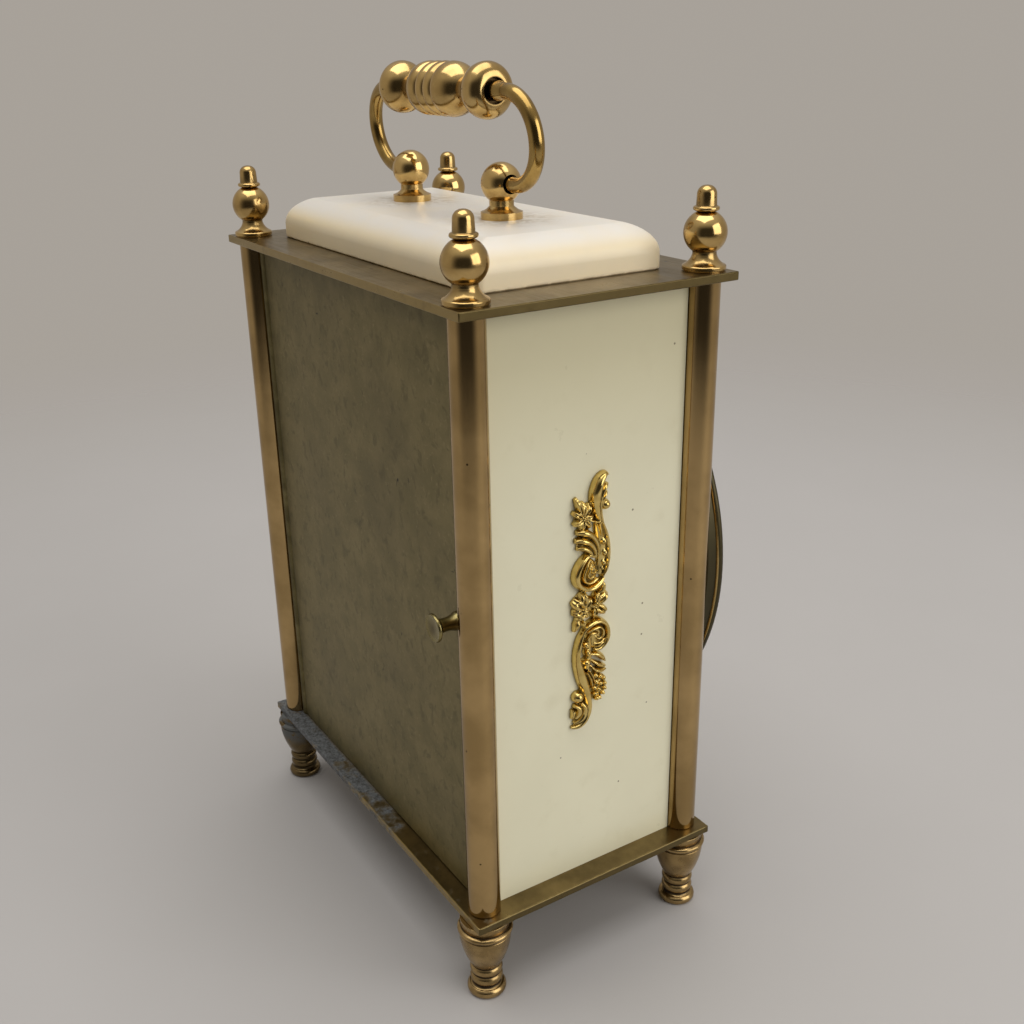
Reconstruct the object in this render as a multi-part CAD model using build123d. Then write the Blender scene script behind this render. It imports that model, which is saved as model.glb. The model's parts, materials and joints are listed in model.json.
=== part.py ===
from build123d import *
import math
import os

# A mantel clock of the carriage kind: two brass plates held apart by four columns, with a foot
# under each column and a finial on top, cream panels at the front and sides, a hinged brass door
# behind, and a swinging handle on a cream block. Millimetres, +Z up, and the dial faces -Y. The
# origin lies on the table, under the middle of the object's box.

# Clearances
running_clearance = 0.05
seat_clearance = 0.1
panel_clearance = 0.2
swing_clearance = 0.3

# Plates and columns
plate_width = 126.0
plate_depth = 72.0
plate_thickness = 2.0
column_length = 146.2
column_diameter = 8.0
column_inset_x = 6.0
column_inset_y = 5.2
tie_rod_diameter = 3.0
tie_rod_grip = 7.0

# Feet, from the table up
foot_height = 22.5
foot_sole_radius = 4.4
foot_toe_radius = 4.9
foot_toe_height = 3.2
foot_cove_radius = 3.5
foot_ring_radius = 4.1
foot_ring_height = 2.6
foot_cup_radius = 6.5
foot_cup_swell = 0.5
foot_rim_radius = 6.9
foot_rim_height = 1.7
foot_groove_radius = 6.0
foot_crown_height = 2.3
foot_crown_radius = 6.2

# Finials, from the top plate up
finial_base_radius = 4.95
finial_base_height = 1.3
finial_neck_radius = 2.7
finial_ball_radius = 4.9
finial_ball_height = 8.3
finial_waist_radius = 1.75
finial_collar_radius = 2.95
finial_collar_height = 1.1
finial_tip_radius = 2.3
finial_tip_height = 3.0
finial_dome_height = 1.4

# Cream block on the top plate
block_width = 101.0
block_depth = 49.5
block_height = 10.2
block_edge_radius = 6.6
block_corner_radius = 2.5

# Handle: the bail leans towards the door at rest
post_spacing = 43.6
post_base_radius = 4.9
post_base_height = 1.6
post_neck_radius = 2.85
post_ball_radius = 4.7
post_ball_height = 7.9
post_stud_diameter = 3.0
bail_diameter = 3.5
bail_grip_diameter = 4.3
bail_taper_length = 3.0
bail_rise = 20.0
bail_straight_length = 56.0
bail_stub_depth = 3.0
bail_lean = 6.0
bail_hole_clearance = 0.4
grip_bead_radius = 6.2
grip_bead_inner_depth = 4.9
grip_bead_outer_depth = 3.2
grip_bead_spacing = 40.3
grip_neck_radius = 2.9
grip_ring_radius = 6.2
grip_ring_half_width = 1.8
grip_groove_depth = 0.8
grip_barrel_dome = 5.6
grip_mouth_radius = 2.85
grip_mouth_lip = 0.3
grip_mouth_depth = 1.4

# Panels, held by tongues in blind grooves in both plates
side_panel_thickness = 2.5
front_panel_thickness = 3.0
tongue_height = 1.0
groove_depth = 1.2
side_tongue_length = 30.0
front_tongue_length = 60.0

# Gilt scroll castings on the side panels
ornament_pin_diameter = 1.2
ornament_pin_length = 1.5
ornament_pin_height = 20.0

# Rear door
door_thickness = 1.5
door_stand_out = 0.2
hinge_barrel_radius = 1.5
hinge_pin_radius = 0.8
hinge_pin_reach = 8.0
hinge_pin_seat = 1.5
hinge_axis_depth = 0.8
knob_inset = 3.3
knob_rise = 75.3
knob_stem_radius = 1.6
knob_stem_length = 5.7
knob_head_radius = 3.35
knob_head_thickness = 0.9
knob_rivet_radius = 1.2
knob_rivet_head_radius = 2.0
knob_rivet_head_height = 0.6
catch_width = 8.0
catch_thickness = 0.8
catch_foot_length = 9.0
catch_leaf_height = 14.0
catch_inset = 12.0
catch_rivet_radius = 1.0

# Dial, bezel and glass, which stand forward of the columns
dial_column_gap = 1.5
dial_ring_wall = 4.0
dial_overhang = 2.5
dial_thickness = 1.0
bezel_overhang = 5.3
bezel_wall = 4.2
bezel_depth = 5.8
bezel_flare = 1.0
bezel_round = 1.9
bezel_lip_width = 9.8
glass_flange_thickness = 1.95
glass_thickness = 1.5
glass_rise = 5.8
glass_skirt = 0.5
numeral_rim_gap = 2.3
numeral_height = 8.0
numeral_relief = 0.3
numeral_thick_stroke = 1.1
numeral_thin_stroke = 0.55
numeral_serif = 0.45
numeral_letter_width = 4.4
numeral_letter_gap = 0.55

# Hands, set at ten past ten
hour_hand_length = 25.0
hour_hand_width = 5.0
minute_hand_length = 38.0
minute_hand_width = 4.0
hand_thickness = 0.4
hour_hand_gap = 0.5
hand_spacing = 0.4
hand_boss_radius = 3.2
hand_tail_width = 1.2
hand_leaf_share = 0.62
hour_hand_angle = 305.0
minute_hand_angle = 60.0
hand_nut_radius = 2.2
hand_nut_height = 1.6

# Screws of one pattern, with a longer one for the dial
screw_radius = 1.0
screw_head_radius = 2.0
screw_head_height = 1.2
movement_screw_length = 6.8
dial_screw_length = 6.5
screw_tip_room = 0.5

# Movement frame
movement_width = 74.0
movement_height = 64.0
movement_corner_radius = 4.0
movement_drop = 1.0
movement_plate_thickness = 1.5
movement_gap = 18.5
movement_standoff = 5.8
pillar_inset = 4.0
pillar_radius = 2.5
pillar_spigot_radius = 1.6

# Wheel train: one leaf count for all pinions of the going train
pressure_angle = math.radians(20.0)
tooth_share = 0.42
wheel_addendum = 0.45
pinion_addendum = 0.80
tooth_root_clearance = 0.25
going_pinion_leaves = 8
great_wheel_teeth = 48
intermediate_wheel_teeth = 40
centre_wheel_teeth = 64
third_wheel_teeth = 60
fourth_wheel_teeth = 64
great_module = 0.75
centre_module = 0.45
third_module = 0.42
fourth_module = 0.375
motion_pinion_leaves = 12
minute_wheel_teeth = 36
minute_module = 0.5
hour_wheel_teeth = 48
hour_module = 0.4
wheel_thickness = 1.0
pinion_overhang = 0.6
end_shake = 0.1
arbor_radius = 0.9
pivot_radius = 0.5

# Where each arbor stands: the direction from the one before it, in degrees from +X, seen from the front
third_direction = 60.0
fourth_direction = -20.0
escape_direction = -80.0
lever_direction = -98.0
intermediate_direction = -78.0
barrel_direction = 170.0
minute_wheel_direction = 135.0

# How far each wheel's back stands in front of the movement's back plate
intermediate_wheel_level = 1.2
escape_wheel_level = 3.0
fourth_wheel_level = 7.0
third_wheel_level = 11.6
centre_wheel_level = 16.6
great_wheel_level = 13.5

# Going barrel and winding
barrel_radius = 15.5
barrel_wall = 1.0
barrel_depth = 10.3
barrel_hub_radius = 5.0
barrel_hub_depth = 3.5
winding_arbor_radius = 3.0
winding_pivot_radius = 2.0
mainspring_thickness = 0.5
mainspring_pitch = 1.3
mainspring_half_turns = 16
mainspring_height = 5.3
ratchet_teeth = 24
ratchet_radius = 8.0
ratchet_tooth_depth = 1.0
ratchet_thickness = 1.6
ratchet_lift = 0.3
click_pivot_angle = 32.0
click_pivot_distance = 11.3
click_tip_angle = 70.0
click_tip_gap = 0.25
click_boss_radius = 2.2
click_width = 1.4
click_stud_radius = 1.0
key_hub_radius = 3.0
key_hub_length = 8.0
key_door_gap = 1.5
key_wing_radius = 5.5
key_wing_offset = 6.0
key_wing_thickness = 1.6
key_wing_hole_radius = 2.0

# Centre arbor and motion work
centre_arbor_radius = 1.2
centre_sleeve_radius = 2.2
hour_pipe_radius = 2.0
set_knob_radius = 5.0
set_knob_thickness = 6.0
set_knob_start = 14.5
set_knob_flutes = 16
set_knob_flute_radius = 0.5
motion_gap = 0.4
cannon_length = 2.5
minute_stud_radius = 1.0
minute_boss_radius = 1.5

# Escapement
escape_teeth = 15
escape_radius = 6.0
escape_tooth_depth = 1.6
lever_distance = 8.5
balance_distance = 7.5
lever_pivot_radius = 0.4
lever_arbor_radius = 0.7
pallet_spread = 36.0
pallet_reach = 7.1
pallet_width = 1.0
fork_length = 4.6
fork_width = 2.6
fork_slot = 1.0
fork_slot_depth = 1.2
bridge_width = 5.0
bridge_length = 14.0
bridge_thickness = 1.2
bridge_height = 6.4
bridge_overlap = 2.7
balance_radius = 8.5
balance_rim = 1.5
balance_thickness = 1.6
balance_level = 10.4
balance_arm_width = 1.6
staff_radius = 0.8
staff_pivot_radius = 0.4
roller_radius = 2.6
roller_thickness = 0.8
roller_level = 4.4
roller_pin_orbit = 2.0
roller_pin_radius = 0.3
roller_pin_length = 1.3
collet_radius = 1.5
hairspring_level = 13.8
hairspring_height = 0.8
hairspring_thickness = 0.2
hairspring_pitch = 0.7
hairspring_half_turns = 12
hairspring_stud_radius = 0.6

# Heights and places that follow from the sizes above
base_top = foot_height + plate_thickness
top_under = base_top + column_length
top_top = top_under + plate_thickness
block_top = top_top + block_height
pivot_height = block_top + post_ball_height
dial_centre_height = (base_top + top_under) / 2
column_x = plate_width / 2 - column_inset_x
column_y = plate_depth / 2 - column_inset_y
column_radius = column_diameter / 2
tie_rod_radius = tie_rod_diameter / 2
bail_radius = bail_diameter / 2
bail_grip_radius = bail_grip_diameter / 2
post_x = post_spacing / 2
corners = {
    "front_left": (-column_x, -column_y),
    "front_right": (column_x, -column_y),
    "rear_left": (-column_x, column_y),
    "rear_right": (column_x, column_y),
}
sides = {"left": -1, "right": 1}

# Dial and bezel sizes, from the columns that the dial's ring stands between
dial_ring_outer_radius = column_x - column_radius - dial_column_gap
dial_ring_inner_radius = dial_ring_outer_radius - dial_ring_wall
dial_radius = dial_ring_outer_radius + dial_overhang
dial_hole_radius = hour_pipe_radius + swing_clearance
bezel_radius = dial_radius + bezel_overhang
bezel_lip_radius = bezel_radius - bezel_lip_width
glass_dome_radius = bezel_lip_radius - panel_clearance
glass_inner_radius = glass_dome_radius - glass_thickness
numeral_middle_radius = glass_inner_radius - numeral_rim_gap - numeral_height / 2

# Depths forward of the plates' middle, from the front panel to the glass and back to the movement
panel_front = column_y
panel_back = panel_front - front_panel_thickness
panel_seat = panel_front - screw_head_height - seat_clearance
dial_back = column_y + column_radius + panel_clearance
dial_front = dial_back + dial_thickness
bezel_back = dial_back + panel_clearance
bezel_lip_back = dial_front + glass_flange_thickness + running_clearance
front_plate_front = panel_back - movement_standoff
front_plate_back = front_plate_front - movement_plate_thickness
back_plate_front = front_plate_back - movement_gap
back_plate_back = back_plate_front - movement_plate_thickness
hour_hand_back = dial_front + hour_hand_gap
hour_hand_front = hour_hand_back + hand_thickness
minute_hand_back = hour_hand_front + hand_spacing
minute_hand_front = minute_hand_back + hand_thickness
hand_nut_front = minute_hand_front + hand_nut_height
cannon_back = front_plate_front + motion_gap
cannon_front = cannon_back + cannon_length
hour_wheel_back = cannon_front + motion_gap + running_clearance
hour_wheel_front = hour_wheel_back + wheel_thickness

BASE = (Align.CENTER, Align.CENTER, Align.MIN)
dial_frame = Plane(origin=(0, 0, dial_centre_height), x_dir=(1, 0, 0), z_dir=(0, -1, 0)).location


def polar(radius, degrees, centre=(0.0, 0.0)):
    """The point at a radius and direction from a centre."""
    turn = math.radians(degrees)
    return (centre[0] + radius * math.cos(turn), centre[1] + radius * math.sin(turn))


def direction(start, end):
    """The direction from one point to another, in degrees."""
    return math.degrees(math.atan2(end[1] - start[1], end[0] - start[0]))


def outline(start, *steps):
    """A closed face: each step is the end of a line, or the middle and the end of an arc."""
    edges = []
    here = start
    for step in steps:
        if isinstance(step[0], tuple):
            middle, end = step
            edges.append(ThreePointArc(here, middle, end))
        else:
            end = step
            edges.append(Line(here, end))
        here = end
    edges.append(Line(here, start))
    return make_face(edges)


def turned(face):
    """The face of radii and heights, turned about Z."""
    return revolve(Plane.XZ * face, Axis.Z)


def disc(radius, low, high, at=(0.0, 0.0)):
    """A round bar along Z from one level to another."""
    return Pos(at[0], at[1], low) * Cylinder(radius, high - low, align=BASE)


def slab(x_low, x_high, y_low, y_high, z_low, z_high):
    """A box between two corners."""
    middle = Pos((x_low + x_high) / 2, (y_low + y_high) / 2, (z_low + z_high) / 2)
    return middle * Box(x_high - x_low, y_high - y_low, z_high - z_low)


def one_piece(shape):
    """The single solid of a shape."""
    return shape.solids()[0]


def ball_cut(ball_radius, cut_radius):
    """How far from a ball's middle its section has a given radius."""
    return math.sqrt(ball_radius ** 2 - cut_radius ** 2)


def dome_middle_point(edge_radius, edge_level, top_level):
    """The point half way out on a dome's section."""
    rise = top_level - edge_level
    sphere = (edge_radius ** 2 + rise ** 2) / (2 * rise)
    half = edge_radius / 2
    return (half, top_level - sphere + math.sqrt(sphere ** 2 - half ** 2))


# Gears

def gear(teeth, module, addendum, mate_addendum, low, high, phase, steps):
    """A gear with involute flanks; phase is the direction of the middle of one tooth, in degrees."""
    pitch_radius = module * teeth / 2
    base_radius = pitch_radius * math.cos(pressure_angle)
    tip_radius = pitch_radius + addendum * module
    root_radius = pitch_radius - (mate_addendum + tooth_root_clearance) * module

    def half_width(radius):
        roll = math.acos(base_radius / max(radius, base_radius))
        pitch_roll = math.tan(pressure_angle) - pressure_angle
        return math.degrees(tooth_share * math.pi / teeth + pitch_roll - math.tan(roll) + roll)

    radii = [root_radius + (tip_radius - root_radius) * step / steps for step in range(steps + 1)]
    points = []
    for tooth in range(teeth):
        middle = phase + 360.0 * tooth / teeth
        points += [polar(radius, middle - half_width(radius)) for radius in radii]
        points += [polar(radius, middle + half_width(radius)) for radius in reversed(radii)]
    blank = make_face(Polyline(*points, close=True))
    return Pos(0, 0, low) * extrude(blank, high - low)


def toothed_wheel(teeth, module, low, high, phase):
    """A driving wheel, with short teeth."""
    return gear(teeth, module, wheel_addendum, pinion_addendum, low, high, phase, 1)


def pinion(leaves, module, low, high, phase):
    """A driven pinion, whose leaves are taller and rounder."""
    return gear(leaves, module, pinion_addendum, wheel_addendum, low, high, phase, 3)


def gear_distance(wheel_teeth, pinion_leaves, module):
    """How far apart two meshed arbors stand."""
    return module * (wheel_teeth + pinion_leaves) / 2


def pinion_phase(wheel_at, pinion_at, leaves):
    """The phase that puts a pinion's gap where the wheel has a tooth."""
    return direction(wheel_at, pinion_at) + 180.0 + 180.0 / leaves


# Arbor places, seen from the front, with the centre arbor at the dial's middle
centre_at = (0.0, 0.0)
third_at = polar(gear_distance(centre_wheel_teeth, going_pinion_leaves, centre_module), third_direction)
fourth_at = polar(
    gear_distance(third_wheel_teeth, going_pinion_leaves, third_module), fourth_direction, third_at)
escape_at = polar(
    gear_distance(fourth_wheel_teeth, going_pinion_leaves, fourth_module), escape_direction, fourth_at)
lever_at = polar(lever_distance, lever_direction, escape_at)
balance_at = polar(balance_distance, lever_direction, lever_at)
intermediate_at = polar(
    gear_distance(intermediate_wheel_teeth, going_pinion_leaves, great_module), intermediate_direction)
barrel_at = polar(
    gear_distance(great_wheel_teeth, going_pinion_leaves, great_module), barrel_direction, intermediate_at)
minute_wheel_at = polar(
    gear_distance(minute_wheel_teeth, motion_pinion_leaves, minute_module), minute_wheel_direction)
click_at = polar(click_pivot_distance, click_pivot_angle, barrel_at)
bridge_screw_at = (
    lever_at[0] - bridge_overlap + bridge_length - bridge_width / 2, lever_at[1])
pillar_places = [
    (side * (movement_width / 2 - pillar_inset), rise * (movement_height / 2 - pillar_inset) - movement_drop)
    for side in (-1, 1) for rise in (-1, 1)
]


def wheel_levels(level):
    """Back and front of a wheel, from its level over the back plate."""
    return back_plate_front + level, back_plate_front + level + wheel_thickness


def pinion_levels(level):
    """Back and front of a pinion that meshes with the wheel at a level."""
    back, front = wheel_levels(level)
    return back - pinion_overhang, front + pinion_overhang


# Case

def plate(low, grooves_at, groove_sign):
    """A brass plate with holes for the tie rods and grooves for the panels' tongues."""
    high = low + plate_thickness
    shape = slab(-plate_width / 2, plate_width / 2, -plate_depth / 2, plate_depth / 2, low, high)
    for corner in corners.values():
        shape -= disc(tie_rod_radius + seat_clearance, low, high, corner)
    groove_low, groove_high = sorted((grooves_at, grooves_at + groove_sign * groove_depth))
    side_reach = side_tongue_length / 2 + seat_clearance
    for side in sides.values():
        inner, outer = sorted((side * column_x, side * (column_x - side_panel_thickness)))
        shape -= slab(inner - seat_clearance, outer + seat_clearance, -side_reach, side_reach,
                      groove_low, groove_high)
    front_reach = front_tongue_length / 2 + seat_clearance
    shape -= slab(-front_reach, front_reach, -panel_front - seat_clearance, -panel_back + seat_clearance,
                  groove_low, groove_high)
    seat_low, seat_high = sorted((grooves_at, grooves_at + groove_sign * hinge_pin_seat))
    shape -= disc(hinge_pin_radius + running_clearance, seat_low, seat_high, hinge_axis)
    return shape


def base_plate():
    """The lower plate, which stands on the feet."""
    return plate(foot_height, base_top, -1)


def top_plate():
    """The upper plate, also drilled for the handle posts' studs and the door catch's rivet."""
    shape = plate(top_under, top_under, 1)
    for side in sides.values():
        shape -= disc(post_stud_diameter / 2 + running_clearance, top_under, top_top, (side * post_x, 0))
    shape -= disc(catch_rivet_radius + running_clearance, top_under, top_under + groove_depth, catch_rivet_at)
    return shape


def column(at):
    """A round tube between the plates."""
    tube = disc(column_radius, base_top, top_under, at)
    return tube - disc(tie_rod_radius + seat_clearance, base_top, top_under, at)


def tie_rods():
    """Four rods from foot to finial."""
    low = foot_height - tie_rod_grip
    high = top_top + tie_rod_grip
    return Compound(children=[one_piece(disc(tie_rod_radius, low, high, at)) for at in corners.values()])


def foot(at):
    """A turned foot: toe, two rings, a cup with a rim, and a low crown."""
    ring_one = foot_toe_height + foot_ring_height
    ring_two = ring_one + foot_ring_height
    cup_top = foot_height - foot_crown_height - foot_rim_height
    cup_middle = ((foot_cove_radius + foot_cup_radius) / 2 + foot_cup_swell, (ring_two + cup_top) / 2)
    rim_top = cup_top + foot_rim_height
    face = outline(
        (0, 0),
        (foot_sole_radius, 0),
        ((foot_toe_radius, foot_toe_height / 2), (foot_cove_radius, foot_toe_height)),
        ((foot_ring_radius, foot_toe_height + foot_ring_height / 2), (foot_cove_radius, ring_one)),
        ((foot_ring_radius, ring_one + foot_ring_height / 2), (foot_cove_radius, ring_two)),
        (cup_middle, (foot_cup_radius, cup_top)),
        ((foot_rim_radius, cup_top + foot_rim_height / 2), (foot_groove_radius, rim_top)),
        (foot_crown_radius, foot_height),
        (0, foot_height),
    )
    bore = disc(tie_rod_radius + running_clearance, foot_height - tie_rod_grip - screw_tip_room, foot_height)
    return Pos(at[0], at[1], 0) * (turned(face) - bore)


def finial(at):
    """A turned finial: base, neck, ball, collar and a domed tip."""
    ball_low = finial_ball_height - ball_cut(finial_ball_radius, finial_neck_radius)
    ball_high = finial_ball_height + ball_cut(finial_ball_radius, finial_waist_radius)
    collar_top = ball_high + finial_collar_height
    tip_top = collar_top + finial_tip_height
    top = tip_top + finial_dome_height
    flare = (
        finial_neck_radius + (finial_base_radius - finial_neck_radius) / 3,
        finial_base_height + (ball_low - finial_base_height) / 4,
    )
    face = outline(
        (0, 0),
        (finial_base_radius, 0),
        (finial_base_radius, finial_base_height),
        (flare, (finial_neck_radius, (finial_base_height + ball_low) / 2)),
        (finial_neck_radius, ball_low),
        ((finial_ball_radius, finial_ball_height), (finial_waist_radius, ball_high)),
        (finial_collar_radius, ball_high),
        (finial_collar_radius, collar_top),
        (finial_tip_radius, collar_top),
        (finial_tip_radius, tip_top),
        (dome_middle_point(finial_tip_radius, tip_top, top), (0, top)),
    )
    bore = disc(tie_rod_radius + running_clearance, 0, tie_rod_grip + screw_tip_room)
    return Pos(at[0], at[1], top_top) * (turned(face) - bore)


def top_block():
    """The cream block, with round top edges and a hole for each post's stud."""
    shape = slab(-block_width / 2, block_width / 2, -block_depth / 2, block_depth / 2, top_top, block_top)
    shape = fillet(shape.faces().sort_by(Axis.Z)[-1].edges(), block_edge_radius)
    shape = fillet(shape.edges().filter_by(Axis.Z), block_corner_radius)
    for side in sides.values():
        shape -= disc(post_stud_diameter / 2 + running_clearance, top_top, block_top, (side * post_x, 0))
    return shape


def side_panel(side):
    """A cream panel between a front and a rear column, with a tongue at the top and bottom."""
    x_low, x_high = sorted((side * column_x, side * (column_x - side_panel_thickness)))
    reach = column_y - column_radius - panel_clearance
    shape = slab(x_low, x_high, -reach, reach, base_top, top_under)
    half_tongue = side_tongue_length / 2
    shape += slab(x_low, x_high, -half_tongue, half_tongue, base_top - tongue_height, base_top)
    shape += slab(x_low, x_high, -half_tongue, half_tongue, top_under, top_under + tongue_height)
    for rise in (-1, 1):
        pin = disc(ornament_pin_diameter / 2 + running_clearance, -ornament_pin_length - screw_tip_room, 0,
                   (0, rise * ornament_pin_height / 2))
        shape -= ornament_frame(side) * pin
    return shape


def front_panel():
    """The panel that carries the dial in front and the movement behind."""
    reach = column_x - column_radius - panel_clearance
    shape = slab(-reach, reach, -panel_front, -panel_back, base_top, top_under)
    half_tongue = front_tongue_length / 2
    shape += slab(-half_tongue, half_tongue, -panel_front, -panel_back, base_top - tongue_height, base_top)
    shape += slab(-half_tongue, half_tongue, -panel_front, -panel_back, top_under, top_under + tongue_height)
    holes = disc(dial_hole_radius, panel_back, panel_front)
    for at in pillar_places + dial_screw_places:
        holes += disc(screw_radius + seat_clearance, panel_back, panel_front, at)
    for at in pillar_places:
        holes += disc(screw_head_radius + seat_clearance, panel_seat, panel_front, at)
    return shape - dial_frame * holes


# Handle

def handle_post(side):
    """A ball on a neck and base, cross-drilled for the bail, with a stud down through the block."""
    ball_low = post_ball_height - ball_cut(post_ball_radius, post_neck_radius)
    flare = (
        post_neck_radius + (post_base_radius - post_neck_radius) / 3,
        post_base_height + (ball_low - post_base_height) / 4,
    )
    face = outline(
        (0, 0),
        (post_base_radius, 0),
        (post_base_radius, post_base_height),
        (flare, (post_neck_radius, (post_base_height + ball_low) / 2)),
        (post_neck_radius, ball_low),
        ((post_ball_radius, post_ball_height), (0, post_ball_height + post_ball_radius)),
    )
    shape = turned(face) + disc(post_stud_diameter / 2, -block_height - plate_thickness, 0)
    shape = Pos(side * post_x, 0, block_top) * shape
    hole_depth = post_ball_radius + bail_stub_depth + seat_clearance
    hole = Cylinder(bail_radius + bail_hole_clearance, hole_depth, align=BASE)
    hole_start = post_x - bail_stub_depth - seat_clearance
    return shape - Pos(side * hole_start, 0, pivot_height) * Rot(0, side * 90, 0) * hole


def leaning(shape):
    """Tips a piece drawn upright on the pivot axis to where the bail rests."""
    return Pos(0, 0, pivot_height) * Rot(-bail_lean, 0, 0) * shape


def handle_bail():
    """A rod with a stub in each post, a half circle at each end and a straight top that is thicker."""
    bend = bail_rise / 2
    straight = bail_straight_length / 2
    stub = post_x - bail_stub_depth
    path = Wire([
        Line((-stub, 0, 0), (-straight, 0, 0)),
        ThreePointArc((-straight, 0, 0), (-straight - bend, 0, bend), (-straight, 0, bail_rise)),
        Line((-straight, 0, bail_rise), (straight, 0, bail_rise)),
        ThreePointArc((straight, 0, bail_rise), (straight + bend, 0, bend), (straight, 0, 0)),
        Line((straight, 0, 0), (stub, 0, 0)),
    ])
    section = Plane(origin=(-stub, 0, 0), x_dir=(0, 1, 0), z_dir=(-1, 0, 0)) * Circle(bail_radius)
    half = outline(
        (0, 0),
        (bail_grip_radius, 0),
        (bail_grip_radius, straight - bail_taper_length),
        (bail_radius - running_clearance, straight),
        (0, straight),
    )
    spindle = turned(half)
    spindle += mirror(spindle, about=Plane.XY)
    return leaning(sweep(section, path=path) + Pos(0, 0, bail_rise) * Rot(0, 90, 0) * spindle)


def shoulder(crest, end):
    """The middle of an arc that leaves a crest along the axis and ends at a lower point."""
    drop = crest[0] - end[0]
    reach = end[1] - crest[1]
    radius = (drop**2 + reach**2) / (2 * drop)
    half_angle = math.atan2(reach, radius - drop) / 2
    return (crest[0] - radius + radius * math.cos(half_angle), crest[1] + radius * math.sin(half_angle))


def handle_grip():
    """A turned grip: four round rings with domed ends between two beads that are deeper inwards."""
    groove_radius = grip_ring_radius - grip_groove_depth
    flank_radius = grip_ring_radius - grip_groove_depth / 4
    outer_crest = 3 * grip_ring_half_width
    crest = (grip_ring_radius, outer_crest)
    dome_end = (grip_neck_radius, outer_crest + grip_barrel_dome)
    bead_middle = grip_bead_spacing / 2
    bead_start = (grip_neck_radius, bead_middle - grip_bead_inner_depth)
    bead_crest = (grip_bead_radius, bead_middle)
    bead_end = (grip_mouth_radius + grip_mouth_lip, bead_middle + grip_bead_outer_depth)
    mouth = bead_end[1] - grip_mouth_depth
    bore = bail_grip_radius + running_clearance
    half = outline(
        (bore, 0),
        (groove_radius, 0),
        ((flank_radius, grip_ring_half_width / 2), (grip_ring_radius, grip_ring_half_width)),
        ((flank_radius, 3 * grip_ring_half_width / 2), (groove_radius, 2 * grip_ring_half_width)),
        ((flank_radius, 5 * grip_ring_half_width / 2), crest),
        (shoulder(crest, dome_end), dome_end),
        bead_start,
        (shoulder(bead_crest, bead_start), bead_crest),
        (shoulder(bead_crest, bead_end), bead_end),
        (grip_mouth_radius, bead_end[1]),
        (grip_mouth_radius, mouth),
        (bore, mouth),
    )
    upper = turned(half)
    whole = upper + mirror(upper, about=Plane.XY)
    return leaning(Pos(0, 0, bail_rise) * Rot(0, 90, 0) * whole)


# Ornament

def ornament_frame(side):
    """The frame of a side panel's outer face: right, up and outward, seen from that side."""
    face = Plane(origin=(side * column_x, 0, dial_centre_height), x_dir=(0, side, 0), z_dir=(side, 0, 0))
    return face.location


def side_ornament(side):
    """A gilt scroll casting, in low relief: leaves, blossoms and buds along an S, on two pins."""
    # Each motif: middle to the right, middle up, half length, half width, tilt, relief
    motifs = [
        (2.7, 29.6, 4.9, 2.3, 68, 2.2),
        (4.0, 25.0, 1.5, 1.4, 0, 1.9),
        (-2.3, 24.4, 3.4, 3.3, 0, 2.4),
        (2.3, 21.4, 5.4, 2.0, 106, 2.0),
        (-1.2, 17.0, 3.9, 2.7, 160, 2.2),
        (3.7, 12.6, 5.6, 1.9, 94, 2.1),
        (-1.9, 9.4, 4.4, 3.1, 60, 2.4),
        (1.4, 5.9, 3.6, 1.9, 12, 2.0),
        (-2.5, 1.3, 3.0, 2.9, 0, 2.3),
        (2.0, 0.8, 3.3, 3.1, 0, 2.4),
        (-3.6, -3.4, 2.4, 1.4, 75, 1.9),
        (1.6, -7.2, 4.5, 3.9, 110, 2.3),
        (-2.8, -11.8, 7.2, 2.2, 96, 2.1),
        (2.5, -15.4, 4.2, 2.1, 150, 1.8),
        (2.4, -21.6, 4.3, 2.1, 96, 2.2),
        (-1.2, -21.8, 6.2, 1.7, 108, 1.9),
        (-3.2, -23.4, 1.8, 1.7, 0, 2.3),
        (-2.3, -28.8, 4.5, 3.0, 60, 2.1),
    ]
    shape = None
    for right, up, half_length, half_width, tilt, relief in motifs:
        motif = Pos(right, up, 0) * extrude(Rot(0, 0, tilt) * Ellipse(half_length, half_width), relief)
        shape = motif if shape is None else shape + motif
    for rise in (-1, 1):
        shape += disc(ornament_pin_diameter / 2, -ornament_pin_length, 0, (0, rise * ornament_pin_height / 2))
    return ornament_frame(side) * shape


# Rear door
door_outer = column_y + door_stand_out
door_inner = door_outer - door_thickness
door_edge = column_x - column_radius - swing_clearance
hinge_axis = (door_edge - hinge_barrel_radius, door_outer - hinge_axis_depth)
catch_rivet_at = (-door_edge + catch_inset, door_inner - seat_clearance - catch_foot_length / 2)


def rear_door():
    """A brass sheet rolled round its hinge pins at one edge."""
    low = base_top + swing_clearance
    high = top_under - swing_clearance
    shape = slab(-door_edge, hinge_axis[0], door_inner, door_outer, low, high)
    shape += disc(hinge_barrel_radius, low, high, hinge_axis)
    shape -= disc(hinge_pin_radius + running_clearance, low, high, hinge_axis)
    hole = disc(knob_rivet_radius + running_clearance, -door_outer, -door_inner, knob_at)
    return shape - dial_frame * hole


knob_at = (-door_edge + knob_inset, base_top + knob_rise - dial_centre_height)


def door_hinge_pins():
    """A pin from each plate into the door's rolled edge."""
    low = disc(hinge_pin_radius, base_top - hinge_pin_seat, base_top + hinge_pin_reach, hinge_axis)
    high = disc(hinge_pin_radius, top_under - hinge_pin_reach, top_under + hinge_pin_seat, hinge_axis)
    return Compound(children=[one_piece(low), one_piece(high)])


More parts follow.
